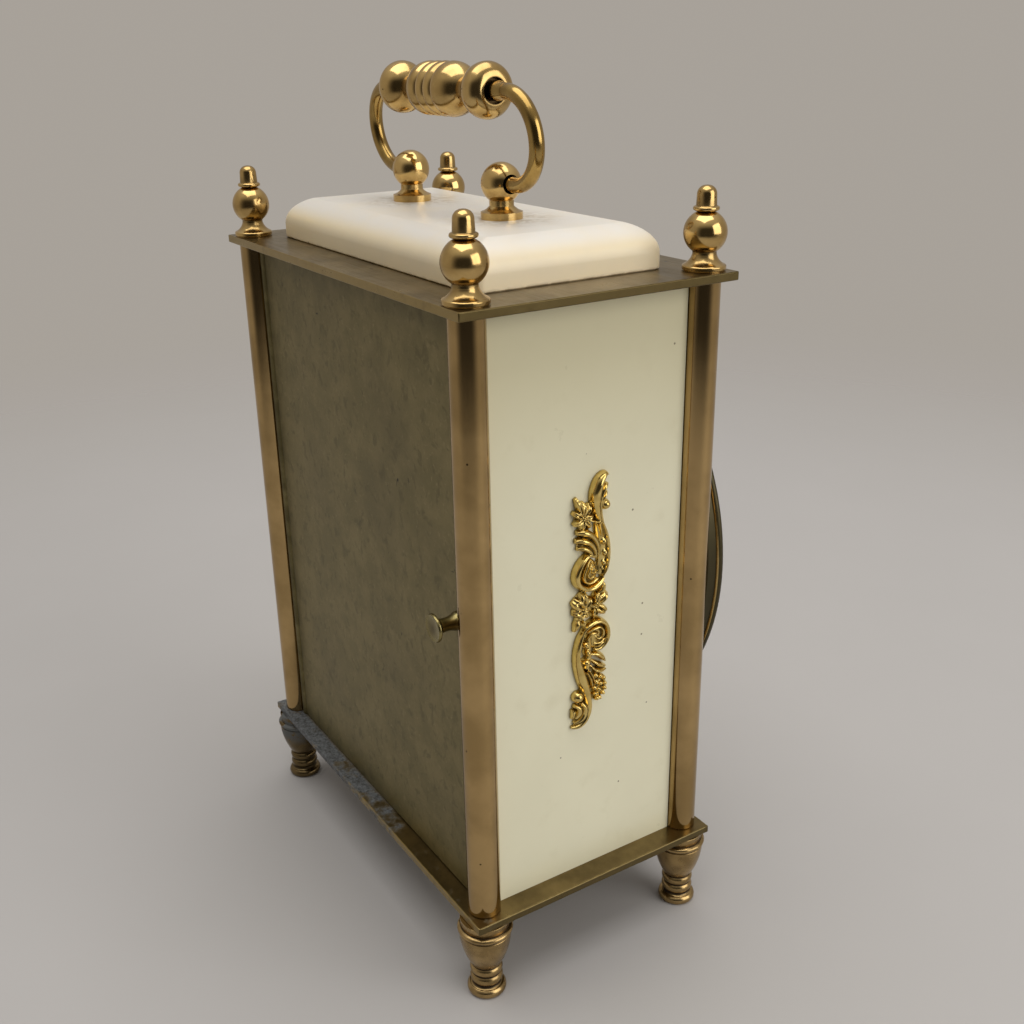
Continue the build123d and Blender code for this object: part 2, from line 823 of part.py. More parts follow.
def door_knob():
    """A flat-headed pull on a stem, riveted through the door."""
    head_back = door_outer + knob_stem_length
    shape = disc(knob_stem_radius, door_outer, head_back)
    shape += disc(knob_head_radius, head_back, head_back + knob_head_thickness)
    shape += disc(knob_rivet_radius, door_inner, door_outer)
    shape += disc(knob_rivet_head_radius, door_inner - knob_rivet_head_height, door_inner)
    return Pos(knob_at[0], 0, dial_centre_height + knob_at[1]) * Rot(-90, 0, 0) * shape


def door_catch():
    """A brass leaf under the top plate that the closed door rests against."""
    x_low = catch_rivet_at[0] - catch_width / 2
    x_high = catch_rivet_at[0] + catch_width / 2
    back = door_inner - seat_clearance
    shape = slab(x_low, x_high, back - catch_foot_length, back, top_under - catch_thickness, top_under)
    shape += slab(x_low, x_high, back - catch_thickness, back, top_under - catch_leaf_height, top_under)
    return shape + disc(catch_rivet_radius, top_under, top_under + tongue_height, catch_rivet_at)


# Dial
dial_screw_circle = (dial_ring_outer_radius + dial_ring_inner_radius) / 2
dial_screw_places = [polar(dial_screw_circle, quarter * 90.0) for quarter in range(4)]


def screw(length, low, at, forward):
    """A round-headed screw: its head's underside is at a level, and its shank runs forward or back."""
    shank = disc(screw_radius, 0, length)
    whole = shank + disc(screw_head_radius, -screw_head_height, 0)
    turn = Rot(0, 0, 0) if forward else Rot(180, 0, 0)
    return Pos(at[0], at[1], low) * turn * whole


def dial_plate():
    """A round dial on a deep ring, which the dial screws hold to the front panel."""
    shape = disc(dial_radius, dial_back, dial_front) + disc(dial_ring_outer_radius, panel_front, dial_back)
    shape -= disc(dial_ring_inner_radius, panel_front, dial_back)
    shape -= disc(dial_hole_radius, dial_back, dial_front)
    hole_end = panel_back + dial_screw_length + screw_tip_room
    for at in dial_screw_places:
        shape -= disc(screw_radius + running_clearance, panel_front, hole_end, at)
    return shape


def dial_screws():
    """Four screws through the front panel into the dial's ring."""
    return Compound(children=[
        one_piece(screw(dial_screw_length, panel_back, at, True)) for at in dial_screw_places])


def stroke(foot_x, head_x, width):
    """A numeral's stroke from its foot line to its head line."""
    half = numeral_height / 2
    return outline((foot_x - width / 2, -half), (foot_x + width / 2, -half),
                   (head_x + width / 2, half), (head_x - width / 2, half))


def letter(sign, left):
    """The strokes of I, V or X from a left edge, and the width that they take."""
    if sign == "I":
        middle = left + numeral_thick_stroke / 2
        return [stroke(middle, middle, numeral_thick_stroke)], numeral_thick_stroke
    near = left + numeral_thick_stroke / 2
    far = left + numeral_letter_width - numeral_thin_stroke / 2
    if sign == "V":
        middle = left + numeral_letter_width / 2
        return [stroke(middle, near, numeral_thick_stroke),
                stroke(middle, far, numeral_thin_stroke)], numeral_letter_width
    return [stroke(far, near, numeral_thick_stroke),
            stroke(near, far, numeral_thin_stroke)], numeral_letter_width


def numeral(signs):
    """A Roman numeral in one piece, with a serif along its head and its foot."""
    strokes = []
    right = 0.0
    for sign in signs:
        drawn, width = letter(sign, right)
        strokes += drawn
        right += width + numeral_letter_gap
    right -= numeral_letter_gap
    shape = strokes[0]
    for extra in strokes[1:]:
        shape = shape + extra
    for rise in (-1, 1):
        line = rise * (numeral_height - numeral_serif) / 2
        shape = shape + Pos(right / 2, line) * Rectangle(right + 2 * numeral_serif, numeral_serif)
    return Pos(-right / 2, 0) * shape


def dial_numerals():
    """Twelve raised numerals, each with its foot towards the dial's middle."""
    signs = ["I", "II", "III", "IIII", "V", "VI", "VII", "VIII", "IX", "X", "XI", "XII"]
    pieces = []
    for hour, sign in enumerate(signs, start=1):
        raised = Pos(0, numeral_middle_radius, dial_front) * extrude(numeral(sign), numeral_relief)
        pieces.append(one_piece(Rot(0, 0, -30.0 * hour) * raised))
    return Compound(children=pieces)


def bezel():
    """A brass ring that grips the dial's edge and holds the glass against it."""
    inner = dial_radius + running_clearance
    front = bezel_back + bezel_depth
    shoulder = front - bezel_round
    lip_front = bezel_lip_back + glass_thickness
    back_outer = bezel_radius - bezel_flare
    crest = bezel_radius - bezel_round
    round_middle = bezel_round * (1 - math.cos(math.pi / 4))
    face = outline(
        (inner, bezel_back),
        (back_outer, bezel_back),
        (bezel_radius, shoulder),
        ((bezel_radius - round_middle, front - round_middle), (crest, front)),
        (bezel_radius - bezel_wall, front),
        (bezel_lip_radius, lip_front),
        (bezel_lip_radius, bezel_lip_back),
        (inner, bezel_lip_back),
    )
    return turned(face)


def dial_glass():
    """A domed glass whose flange lies between the dial and the bezel's lip."""
    flange_radius = dial_radius - seat_clearance
    flange_front = dial_front + glass_flange_thickness
    top = flange_front + glass_rise
    inner_level = dial_front + glass_skirt
    inner_top = top - glass_thickness
    face = outline(
        (glass_inner_radius, dial_front),
        (flange_radius, dial_front),
        (flange_radius, flange_front),
        (glass_dome_radius, flange_front),
        (dome_middle_point(glass_dome_radius, flange_front, top), (0, top)),
        (0, inner_top),
        (dome_middle_point(glass_inner_radius, inner_level, inner_top), (glass_inner_radius, inner_level)),
    )
    return turned(face)


def hand(length, width, hole_radius, back, clock_angle):
    """A spade hand: a boss, a narrow tail and a leaf-shaped blade that ends in a point."""
    leaf = length * hand_leaf_share
    blade = outline(
        (-hand_tail_width / 2, 0),
        (hand_tail_width / 2, 0),
        (hand_tail_width / 2, leaf - width),
        ((width / 2, leaf), (0, length)),
        ((-width / 2, leaf), (-hand_tail_width / 2, leaf - width)),
    )
    shape = extrude(blade, hand_thickness) + disc(hand_boss_radius, 0, hand_thickness)
    shape -= disc(hole_radius + running_clearance, 0, hand_thickness)
    return Pos(0, 0, back) * Rot(0, 0, -clock_angle) * shape


def hour_hand():
    """The hour hand, pushed on to the hour wheel's pipe."""
    return hand(hour_hand_length, hour_hand_width, hour_pipe_radius, hour_hand_back, hour_hand_angle)


def minute_hand():
    """The minute hand, on the centre arbor."""
    return hand(minute_hand_length, minute_hand_width, centre_arbor_radius, minute_hand_back,
                minute_hand_angle)


def hand_nut():
    """A round nut that holds the minute hand."""
    shape = disc(hand_nut_radius, minute_hand_front, hand_nut_front)
    return shape - disc(centre_arbor_radius + running_clearance, minute_hand_front, hand_nut_front)


# Movement frame

def movement_plate(back, front):
    """A movement plate with round corners."""
    face = Pos(0, -movement_drop) * RectangleRounded(movement_width, movement_height, movement_corner_radius)
    return Pos(0, 0, back) * extrude(face, front - back)


def pivot_holes(back, front):
    """The holes that both plates have, for the arbors that run between them."""
    holes = disc(winding_pivot_radius + running_clearance, back, front, barrel_at)
    holes += disc(centre_arbor_radius + running_clearance, back, front)
    for at in (intermediate_at, third_at, fourth_at, escape_at):
        holes += disc(pivot_radius + running_clearance, back, front, at)
    return holes + disc(staff_pivot_radius + running_clearance, back, front, balance_at)


def hairspring_end():
    """Where the hairspring's outer end stands, from the balance's middle."""
    return hairspring_start() + hairspring_half_turns * hairspring_pitch / 2


def hairspring_start():
    """The radius of the hairspring's first half turn."""
    return collet_radius + seat_clearance + hairspring_thickness / 2


def movement_front_plate():
    """The plate nearer the dial, with the minute wheel's stud and the hairspring's stud."""
    shape = movement_plate(front_plate_back, front_plate_front)
    shape -= pivot_holes(front_plate_back, front_plate_front)
    for at in pillar_places:
        shape -= disc(pillar_spigot_radius + running_clearance, front_plate_back, front_plate_front, at)
    stud_end = hour_wheel_front + pinion_overhang
    shape += disc(minute_stud_radius, front_plate_front, stud_end, minute_wheel_at)
    reach = hairspring_end() + hairspring_thickness / 2 + swing_clearance + hairspring_stud_radius
    stud_at = (balance_at[0] + reach, balance_at[1])
    stud_low = back_plate_front + hairspring_level
    return shape + disc(hairspring_stud_radius, stud_low, front_plate_back, stud_at)


def movement_back_plate():
    """The plate nearer the door, with the click's stud."""
    shape = movement_plate(back_plate_back, back_plate_front)
    shape -= pivot_holes(back_plate_back, back_plate_front)
    shape -= disc(lever_pivot_radius + running_clearance, back_plate_back, back_plate_front, lever_at)
    for at in pillar_places + [bridge_screw_at]:
        shape -= disc(screw_radius + seat_clearance, back_plate_back, back_plate_front, at)
    stud_low = back_plate_back - ratchet_lift - ratchet_thickness
    return shape + disc(click_stud_radius, stud_low, back_plate_back, click_at)


def movement_pillars():
    """Four pillars with spigots through the front plate, and the sleeves that hold it off the panel."""
    pieces = []
    spigot_end = panel_back - seat_clearance
    for at in pillar_places:
        pillar = disc(pillar_radius, back_plate_front, front_plate_back, at)
        pillar += disc(pillar_spigot_radius, front_plate_back, spigot_end, at)
        rear_depth = movement_screw_length - movement_plate_thickness + screw_tip_room
        pillar -= disc(screw_radius + running_clearance, back_plate_front, back_plate_front + rear_depth, at)
        front_end = panel_seat - movement_screw_length - screw_tip_room
        pillar -= disc(screw_radius + running_clearance, front_end, spigot_end, at)
        sleeve = disc(pillar_radius, front_plate_front, panel_back, at)
        sleeve -= disc(pillar_spigot_radius + running_clearance, front_plate_front, panel_back, at)
        pieces += [one_piece(pillar), one_piece(sleeve)]
    return Compound(children=pieces)


def movement_screws():
    """Screws into both ends of each pillar, and one for the pallet bridge."""
    front = [one_piece(screw(movement_screw_length, panel_seat, at, False)) for at in pillar_places]
    back = [one_piece(screw(movement_screw_length, back_plate_back, at, True))
            for at in pillar_places + [bridge_screw_at]]
    return Compound(children=front + back)


# Going train

def pivoted_arbor(radius, end_radius):
    """A plain arbor between the plates, with a pivot in each."""
    body = disc(radius, back_plate_front + end_shake, front_plate_back - end_shake)
    return body + disc(end_radius, back_plate_back, front_plate_front)


def spiral_strip(start_radius, pitch, half_turns, thickness, low, high):
    """A coiled strip of half circles, each wider than the last by half the pitch."""
    def bow(index, radius_change):
        radius = start_radius + index * pitch / 2 + radius_change
        middle = (index % 2) * pitch / 2
        lift = radius if index % 2 == 0 else -radius
        ends = (middle + radius, 0), (middle - radius, 0)
        start, end = ends if index % 2 == 0 else ends[::-1]
        return start, (middle, lift), end

    edges = []
    for change in (thickness / 2, -thickness / 2):
        edges += [ThreePointArc(*bow(index, change)) for index in range(half_turns)]
    inner_start = bow(0, -thickness / 2)[0]
    outer_start = bow(0, thickness / 2)[0]
    inner_end = bow(half_turns - 1, -thickness / 2)[2]
    outer_end = bow(half_turns - 1, thickness / 2)[2]
    edges += [Line(inner_start, outer_start), Line(inner_end, outer_end)]
    return Pos(0, 0, low) * extrude(make_face(edges), high - low)


def placed(shape, at):
    """Moves a piece drawn on its own arbor to where the arbor stands."""
    return Pos(at[0], at[1], 0) * shape


def mainspring_barrel():
    """A cup with the great wheel round its floor, which turns on the winding arbor."""
    wheel_back, wheel_front = wheel_levels(great_wheel_level)
    phase = direction(barrel_at, intermediate_at)
    shape = toothed_wheel(great_wheel_teeth, great_module, wheel_back, wheel_front, phase)
    cup_back = wheel_back - barrel_depth
    shape += disc(barrel_radius, cup_back, wheel_back)
    shape -= disc(barrel_radius - barrel_wall, cup_back, wheel_back)
    shape += disc(barrel_hub_radius, wheel_back - barrel_hub_depth, wheel_back)
    shape -= disc(winding_arbor_radius + running_clearance, cup_back, wheel_front)
    return placed(shape, barrel_at)


def mainspring():
    """The coiled spring in the cup, from the winding arbor to the wall."""
    start = winding_arbor_radius + swing_clearance + mainspring_thickness / 2
    high = back_plate_front + great_wheel_level - barrel_hub_depth - swing_clearance
    return placed(spiral_strip(start, mainspring_pitch, mainspring_half_turns, mainspring_thickness,
                               high - mainspring_height, high), barrel_at)


# The key's wings stop short of the closed door
key_start = door_inner - key_door_gap - key_wing_radius - key_hub_length


def winding_arbor():
    """The arbor in the barrel, which reaches back through the plate to the key."""
    shape = pivoted_arbor(winding_arbor_radius, winding_pivot_radius)
    pivot = disc(winding_pivot_radius, -key_start - key_hub_length / 2, back_plate_back)
    return placed(shape + pivot, barrel_at)


def ratchet_wheel():
    """Saw teeth on the winding arbor, behind the back plate."""
    high = back_plate_back - ratchet_lift
    points = []
    for tooth in range(ratchet_teeth):
        start = 360.0 * tooth / ratchet_teeth
        points.append(polar(ratchet_radius - ratchet_tooth_depth, start))
        points.append(polar(ratchet_radius, start))
    face = make_face(Polyline(*points, close=True))
    shape = Pos(0, 0, high - ratchet_thickness) * extrude(face, ratchet_thickness)
    shape -= disc(winding_pivot_radius + running_clearance, high - ratchet_thickness, high)
    return placed(shape, barrel_at)


def bar(start, end, width):
    """A flat strip between two points."""
    length = math.dist(start, end)
    middle = Pos((start[0] + end[0]) / 2, (start[1] + end[1]) / 2)
    return middle * Rot(0, 0, direction(start, end)) * Rectangle(length, width)


def click():
    """The pawl beside the ratchet, on the back plate's stud."""
    high = back_plate_back - ratchet_lift
    low = high - ratchet_thickness
    tip = polar(ratchet_radius + click_tip_gap + click_width / 2, click_tip_angle, barrel_at)
    shape = Pos(0, 0, low) * extrude(bar(click_at, tip, click_width), ratchet_thickness)
    shape += disc(click_boss_radius, low, high, click_at)
    return shape - disc(click_stud_radius + running_clearance, low, high, click_at)


def winding_key():
    """A butterfly key that stays on the winding arbor."""
    hub_back = -key_start - key_hub_length
    shape = disc(key_hub_radius, hub_back, -key_start)
    for side in sides.values():
        lobe = Rot(90, 0, 0) * Cylinder(key_wing_radius, key_wing_thickness)
        shape += Pos(side * key_wing_offset, 0, hub_back) * lobe
    shape -= disc(winding_pivot_radius + running_clearance, -key_start - key_hub_length / 2 - seat_clearance,
                  -key_start)
    for side in sides.values():
        eye = Rot(90, 0, 0) * Cylinder(key_wing_hole_radius, 2 * key_wing_thickness)
        shape -= Pos(side * key_wing_offset, 0, hub_back) * eye
    return placed(shape, barrel_at)


def train_wheel(at, wheel, wheel_level, wheel_phase, driver, driver_level):
    """An arbor with a pinion that one wheel drives and a wheel that drives the next pinion."""
    teeth, module = wheel
    driver_at, driver_module = driver
    low, high = pinion_levels(driver_level)
    shape = pivoted_arbor(arbor_radius, pivot_radius)
    shape += pinion(going_pinion_leaves, driver_module, low, high,
                    pinion_phase(driver_at, at, going_pinion_leaves))
    back, front = wheel_levels(wheel_level)
    shape += toothed_wheel(teeth, module, back, front, wheel_phase)
    return placed(shape, at)


def intermediate_wheel():
    """Between the great wheel and the centre pinion."""
    return train_wheel(intermediate_at, (intermediate_wheel_teeth, great_module), intermediate_wheel_level,
                       direction(intermediate_at, centre_at), (barrel_at, great_module), great_wheel_level)


def third_wheel():
    """Driven by the centre wheel."""
    return train_wheel(third_at, (third_wheel_teeth, third_module), third_wheel_level,
                       direction(third_at, fourth_at), (centre_at, centre_module), centre_wheel_level)


def fourth_wheel():
    """Turns once a minute."""
    return train_wheel(fourth_at, (fourth_wheel_teeth, fourth_module), fourth_wheel_level,
                       direction(fourth_at, escape_at), (third_at, third_module), third_wheel_level)


def centre_wheel():
    """A wheel and pinion on one sleeve, which turns once an hour and slips on the centre arbor."""
    low, high = pinion_levels(intermediate_wheel_level)
    back, front = wheel_levels(centre_wheel_level)
    shape = disc(centre_sleeve_radius, low, front)
    shape += pinion(going_pinion_leaves, great_module, low, high,
                    pinion_phase(intermediate_at, centre_at, going_pinion_leaves))
    shape += toothed_wheel(centre_wheel_teeth, centre_module, back, front, direction(centre_at, third_at))
    return shape - disc(centre_arbor_radius + running_clearance, low, front)


# Motion work

def centre_arbor():
    """The arbor of the minute hand, with the cannon pinion; it reaches back to the set knob."""
    shape = disc(centre_arbor_radius, -set_knob_start - set_knob_thickness / 2, hand_nut_front)
    return shape + pinion(motion_pinion_leaves, minute_module, cannon_back, cannon_front,
                          pinion_phase(minute_wheel_at, centre_at, motion_pinion_leaves))


def minute_wheel():
    """A wheel and pinion on the front plate's stud."""
    wheel_back = cannon_back + pinion_overhang
    pinion_front = hour_wheel_front + pinion_overhang / 2
    shape = toothed_wheel(minute_wheel_teeth, minute_module, wheel_back, wheel_back + wheel_thickness,
                          direction(minute_wheel_at, centre_at))
    shape += pinion(motion_pinion_leaves, hour_module, wheel_back + wheel_thickness, pinion_front,
                    pinion_phase(centre_at, minute_wheel_at, motion_pinion_leaves))
    shape += disc(minute_boss_radius, cannon_back, wheel_back)
    return placed(shape - disc(minute_stud_radius + running_clearance, cannon_back, pinion_front),
                  minute_wheel_at)


def hour_wheel():
    """A wheel on a pipe that carries the hour hand."""
    shape = toothed_wheel(hour_wheel_teeth, hour_module, hour_wheel_back, hour_wheel_front,
                          direction(centre_at, minute_wheel_at))
    shape += disc(hour_pipe_radius, hour_wheel_back, hour_hand_front)
    return shape - disc(centre_arbor_radius + running_clearance, hour_wheel_back, hour_hand_front)


def set_knob():
    """A fluted knob on the centre arbor's rear end."""
    back = -set_knob_start - set_knob_thickness
    shape = disc(set_knob_radius, back, -set_knob_start)
    for flute in range(set_knob_flutes):
        at = polar(set_knob_radius, 360.0 * flute / set_knob_flutes)
        shape -= disc(set_knob_flute_radius, back, -set_knob_start, at)
    return shape - disc(centre_arbor_radius + running_clearance,
                        -set_knob_start - set_knob_thickness / 2 - seat_clearance, -set_knob_start)


# Escapement

def escape_wheel():
    """A pinion and a wheel of pointed teeth."""
    low, high = pinion_levels(fourth_wheel_level)
    back, front = wheel_levels(escape_wheel_level)
    shape = pivoted_arbor(arbor_radius, pivot_radius)
    shape += pinion(going_pinion_leaves, fourth_module, low, high,
                    pinion_phase(fourth_at, escape_at, going_pinion_leaves))
    points = []
    for tooth in range(escape_teeth):
        start = 360.0 * tooth / escape_teeth
        points.append(polar(escape_radius - escape_tooth_depth, start))
        points.append(polar(escape_radius, start + 90.0 / escape_teeth))
    face = make_face(Polyline(*points, close=True))
    return placed(shape + Pos(0, 0, back) * extrude(face, front - back), escape_at)


def pallet_lever():
    """An anchor with two pallets beside the escape wheel, and a fork towards the balance."""
    back, front = wheel_levels(escape_wheel_level)
    bridge_back = back_plate_front + bridge_height - bridge_thickness
    shape = disc(lever_arbor_radius, back_plate_front + end_shake, bridge_back - end_shake, lever_at)
    shape += disc(lever_pivot_radius, back_plate_back, bridge_back + bridge_thickness, lever_at)
    flat = bar(lever_at, polar(fork_length, lever_direction, lever_at), pallet_width)
    for spread in (-pallet_spread, pallet_spread):
        tip = polar(pallet_reach, lever_direction + spread, escape_at)
        flat = flat + bar(lever_at, tip, pallet_width)
    fork_middle = polar(fork_length - fork_slot_depth / 2, lever_direction, lever_at)
    fork_place = Pos(fork_middle[0], fork_middle[1]) * Rot(0, 0, lever_direction)
    flat = flat + fork_place * Rectangle(fork_slot_depth, fork_width)
    flat = flat - fork_place * Pos(fork_slot / 4, 0) * Rectangle(fork_slot_depth, fork_slot)
    return shape + Pos(0, 0, back) * extrude(flat, front - back)


def pallet_bridge():
    """A small cock on the back plate that carries the lever's front pivot."""
    high = back_plate_front + bridge_height
    left = lever_at[0] - bridge_overlap
    right = left + bridge_length
    low_v = lever_at[1] - bridge_width / 2
    high_v = lever_at[1] + bridge_width / 2
    shape = slab(left, right, low_v, high_v, high - bridge_thickness, high)
    shape += slab(right - bridge_width, right, low_v, high_v, back_plate_front, high)
    shape -= disc(lever_pivot_radius + running_clearance, high - bridge_thickness, high, lever_at)
    hole_end = back_plate_back + movement_screw_length + screw_tip_room
    hole_top = min(hole_end, high)
    return shape - disc(screw_radius + running_clearance, back_plate_front, hole_top, bridge_screw_at)


def balance_wheel():
    """A rimmed wheel on a staff, with the roller that meets the fork and the hairspring's collet."""
    back = back_plate_front + balance_level
    front = back + balance_thickness
    shape = disc(balance_radius, back, front) - disc(balance_radius - balance_rim, back, front)
    arm = balance_radius - balance_rim / 2
    shape += slab(-arm, arm, -balance_arm_width / 2, balance_arm_width / 2, back, front)
    shape += pivoted_arbor(staff_radius, staff_pivot_radius)
    roller_back = back_plate_front + roller_level
    shape += disc(roller_radius, roller_back, roller_back + roller_thickness)
    pin_at = polar(roller_pin_orbit, lever_direction + 180.0)
    shape += disc(roller_pin_radius, roller_back - roller_pin_length, roller_back, pin_at)
    collet_back = back_plate_front + hairspring_level
    shape += disc(collet_radius, collet_back, collet_back + hairspring_height)
    return placed(shape, balance_at)


def hairspring():
    """A flat coil from the balance's collet to the stud on the front plate."""
    low = back_plate_front + hairspring_level
    strip = spiral_strip(hairspring_start(), hairspring_pitch, hairspring_half_turns, hairspring_thickness,
                         low, low + hairspring_height)
    return placed(strip, balance_at)


# The pieces are drawn about the plates' middle, and the object's box is centred over the origin
front_reach = dial_front + glass_flange_thickness + glass_rise
rear_reach = max(column_y + foot_rim_radius, door_outer + knob_stem_length + knob_head_thickness)
depth_shift = (front_reach - rear_reach) / 2


def write(name, shape):
    """Saves one node as its solids."""
    solids = (Pos(0, depth_shift, 0) * shape).solids()
    whole = solids[0] if len(solids) == 1 else Compound(children=solids)
    export_step(whole, os.path.join("parts", name + ".step"))


def main():
    """Builds every node and writes it to its own file."""
    os.makedirs("parts", exist_ok=True)
    write("base_plate", base_plate())
    write("top_plate", top_plate())
    for corner, at in corners.items():
        write("column_" + corner, column(at))
        write("foot_" + corner, foot(at))
        write("finial_" + corner, finial(at))
    write("tie_rods", tie_rods())
    write("top_block", top_block())
    for name, side in sides.items():
        write("handle_post_" + name, handle_post(side))
        write("side_panel_" + name, side_panel(side))
        write("side_ornament_" + name, side_ornament(side))
    for make in (handle_bail, handle_grip, front_panel, rear_door, door_hinge_pins, door_knob, door_catch):
        write(make.__name__, make())
    behind_the_dial = (
        dial_plate, dial_screws, dial_numerals, bezel, dial_glass, hour_hand, minute_hand, hand_nut,
        movement_front_plate, movement_back_plate, movement_pillars, movement_screws,
        mainspring_barrel, mainspring, winding_arbor, ratchet_wheel, click, winding_key,
        intermediate_wheel, centre_arbor, centre_wheel, third_wheel, fourth_wheel, escape_wheel,
        pallet_lever, pallet_bridge, balance_wheel, hairspring, minute_wheel, hour_wheel, set_knob,
    )
    for make in behind_the_dial:
        write(make.__name__, dial_frame * make())


main()
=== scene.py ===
import json
import math

import bmesh
import bpy
import numpy as np
from mathutils import Matrix, Vector, noise


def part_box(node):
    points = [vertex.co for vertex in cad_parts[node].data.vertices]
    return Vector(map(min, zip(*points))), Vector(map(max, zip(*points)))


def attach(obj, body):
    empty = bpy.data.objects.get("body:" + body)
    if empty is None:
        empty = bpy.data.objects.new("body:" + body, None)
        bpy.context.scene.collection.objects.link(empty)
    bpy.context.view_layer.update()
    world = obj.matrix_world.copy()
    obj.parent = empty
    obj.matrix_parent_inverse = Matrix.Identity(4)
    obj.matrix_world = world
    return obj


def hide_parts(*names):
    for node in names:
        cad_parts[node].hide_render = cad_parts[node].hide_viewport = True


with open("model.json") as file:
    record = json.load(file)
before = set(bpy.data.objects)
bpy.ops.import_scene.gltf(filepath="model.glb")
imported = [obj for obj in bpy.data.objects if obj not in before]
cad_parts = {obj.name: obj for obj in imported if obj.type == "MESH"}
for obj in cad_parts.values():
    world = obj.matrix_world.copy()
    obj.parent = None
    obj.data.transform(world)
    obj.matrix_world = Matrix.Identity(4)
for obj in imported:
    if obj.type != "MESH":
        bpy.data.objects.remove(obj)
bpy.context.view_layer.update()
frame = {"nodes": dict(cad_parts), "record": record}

nodes = frame["nodes"]
MM = 0.001

# Places that the pieces share, in millimetres, read from the frame
base_low, base_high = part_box("base_plate")
top_low, top_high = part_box("top_plate")
plates_middle_y = (base_low.y + base_high.y) / 2 / MM
plate_half_width = base_high.x / MM
plate_half_depth = (base_high.y - base_low.y) / 2 / MM
base_top = base_high.z / MM
top_under = top_low.z / MM
top_top = top_high.z / MM
block_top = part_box("top_block")[1].z / MM
dial_height = (base_top + top_under) / 2
corners = ("front_left", "front_right", "rear_left", "rear_right")
sides = {"left": -1, "right": 1}


def node_middle(node):
    """The middle of a CAD node's box, in millimetres."""
    low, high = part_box(node)
    return (low + high) / 2 / MM


# Material building


class Nodes:
    """A node tree, with short calls for the nodes that it gets."""

    def __init__(self, tree):
        self.tree = tree

    def node(self, kind, inputs=(), **settings):
        """Adds a node, sets its options and feeds its inputs."""
        made = self.tree.nodes.new(kind)
        for key, value in settings.items():
            setattr(made, key, value)
        for socket, value in dict(inputs).items():
            self.feed(made.inputs[socket], value)
        return made

    def feed(self, socket, value):
        """Links an output to an input, or sets the input."""
        if isinstance(value, bpy.types.NodeSocket):
            self.tree.links.new(value, socket)
        else:
            socket.default_value = value

    def band(self, value, low, high):
        """Rises smoothly from 0 at one value to 1 at another."""
        falling = low > high
        made = self.node("ShaderNodeMapRange", {
            "Value": value, "From Min": min(low, high), "From Max": max(low, high),
            "To Min": float(falling), "To Max": float(not falling)}, interpolation_type="SMOOTHSTEP")
        return made.outputs["Result"]

    def between(self, value, low, high):
        """Maps 0 to 1 on to a range."""
        made = self.node("ShaderNodeMapRange", {"Value": value, "To Min": low, "To Max": high})
        return made.outputs["Result"]

    def maths(self, operation, first, second=0.0):
        """One sum."""
        made = self.node("ShaderNodeMath", {0: first, 1: second}, operation=operation)
        return made.outputs["Value"]

    def times(self, first, second):
        """One value times another."""
        return self.maths("MULTIPLY", first, second)

    def plus(self, first, second):
        """One value and another."""
        return self.maths("ADD", first, second)

    def minus(self, first, second):
        """One value less another."""
        return self.maths("SUBTRACT", first, second)

    def most(self, first, second):
        """The greater of two values."""
        return self.maths("MAXIMUM", first, second)

    def mix(self, share, first, second):
        """Two colours mixed by a share."""
        made = self.node("ShaderNodeMix", {"Factor": share}, data_type="RGBA")
        for socket, value in ((made.inputs[6], first), (made.inputs[7], second)):
            self.feed(socket, (*value, 1.0) if isinstance(value, tuple) else value)
        return made.outputs[2]


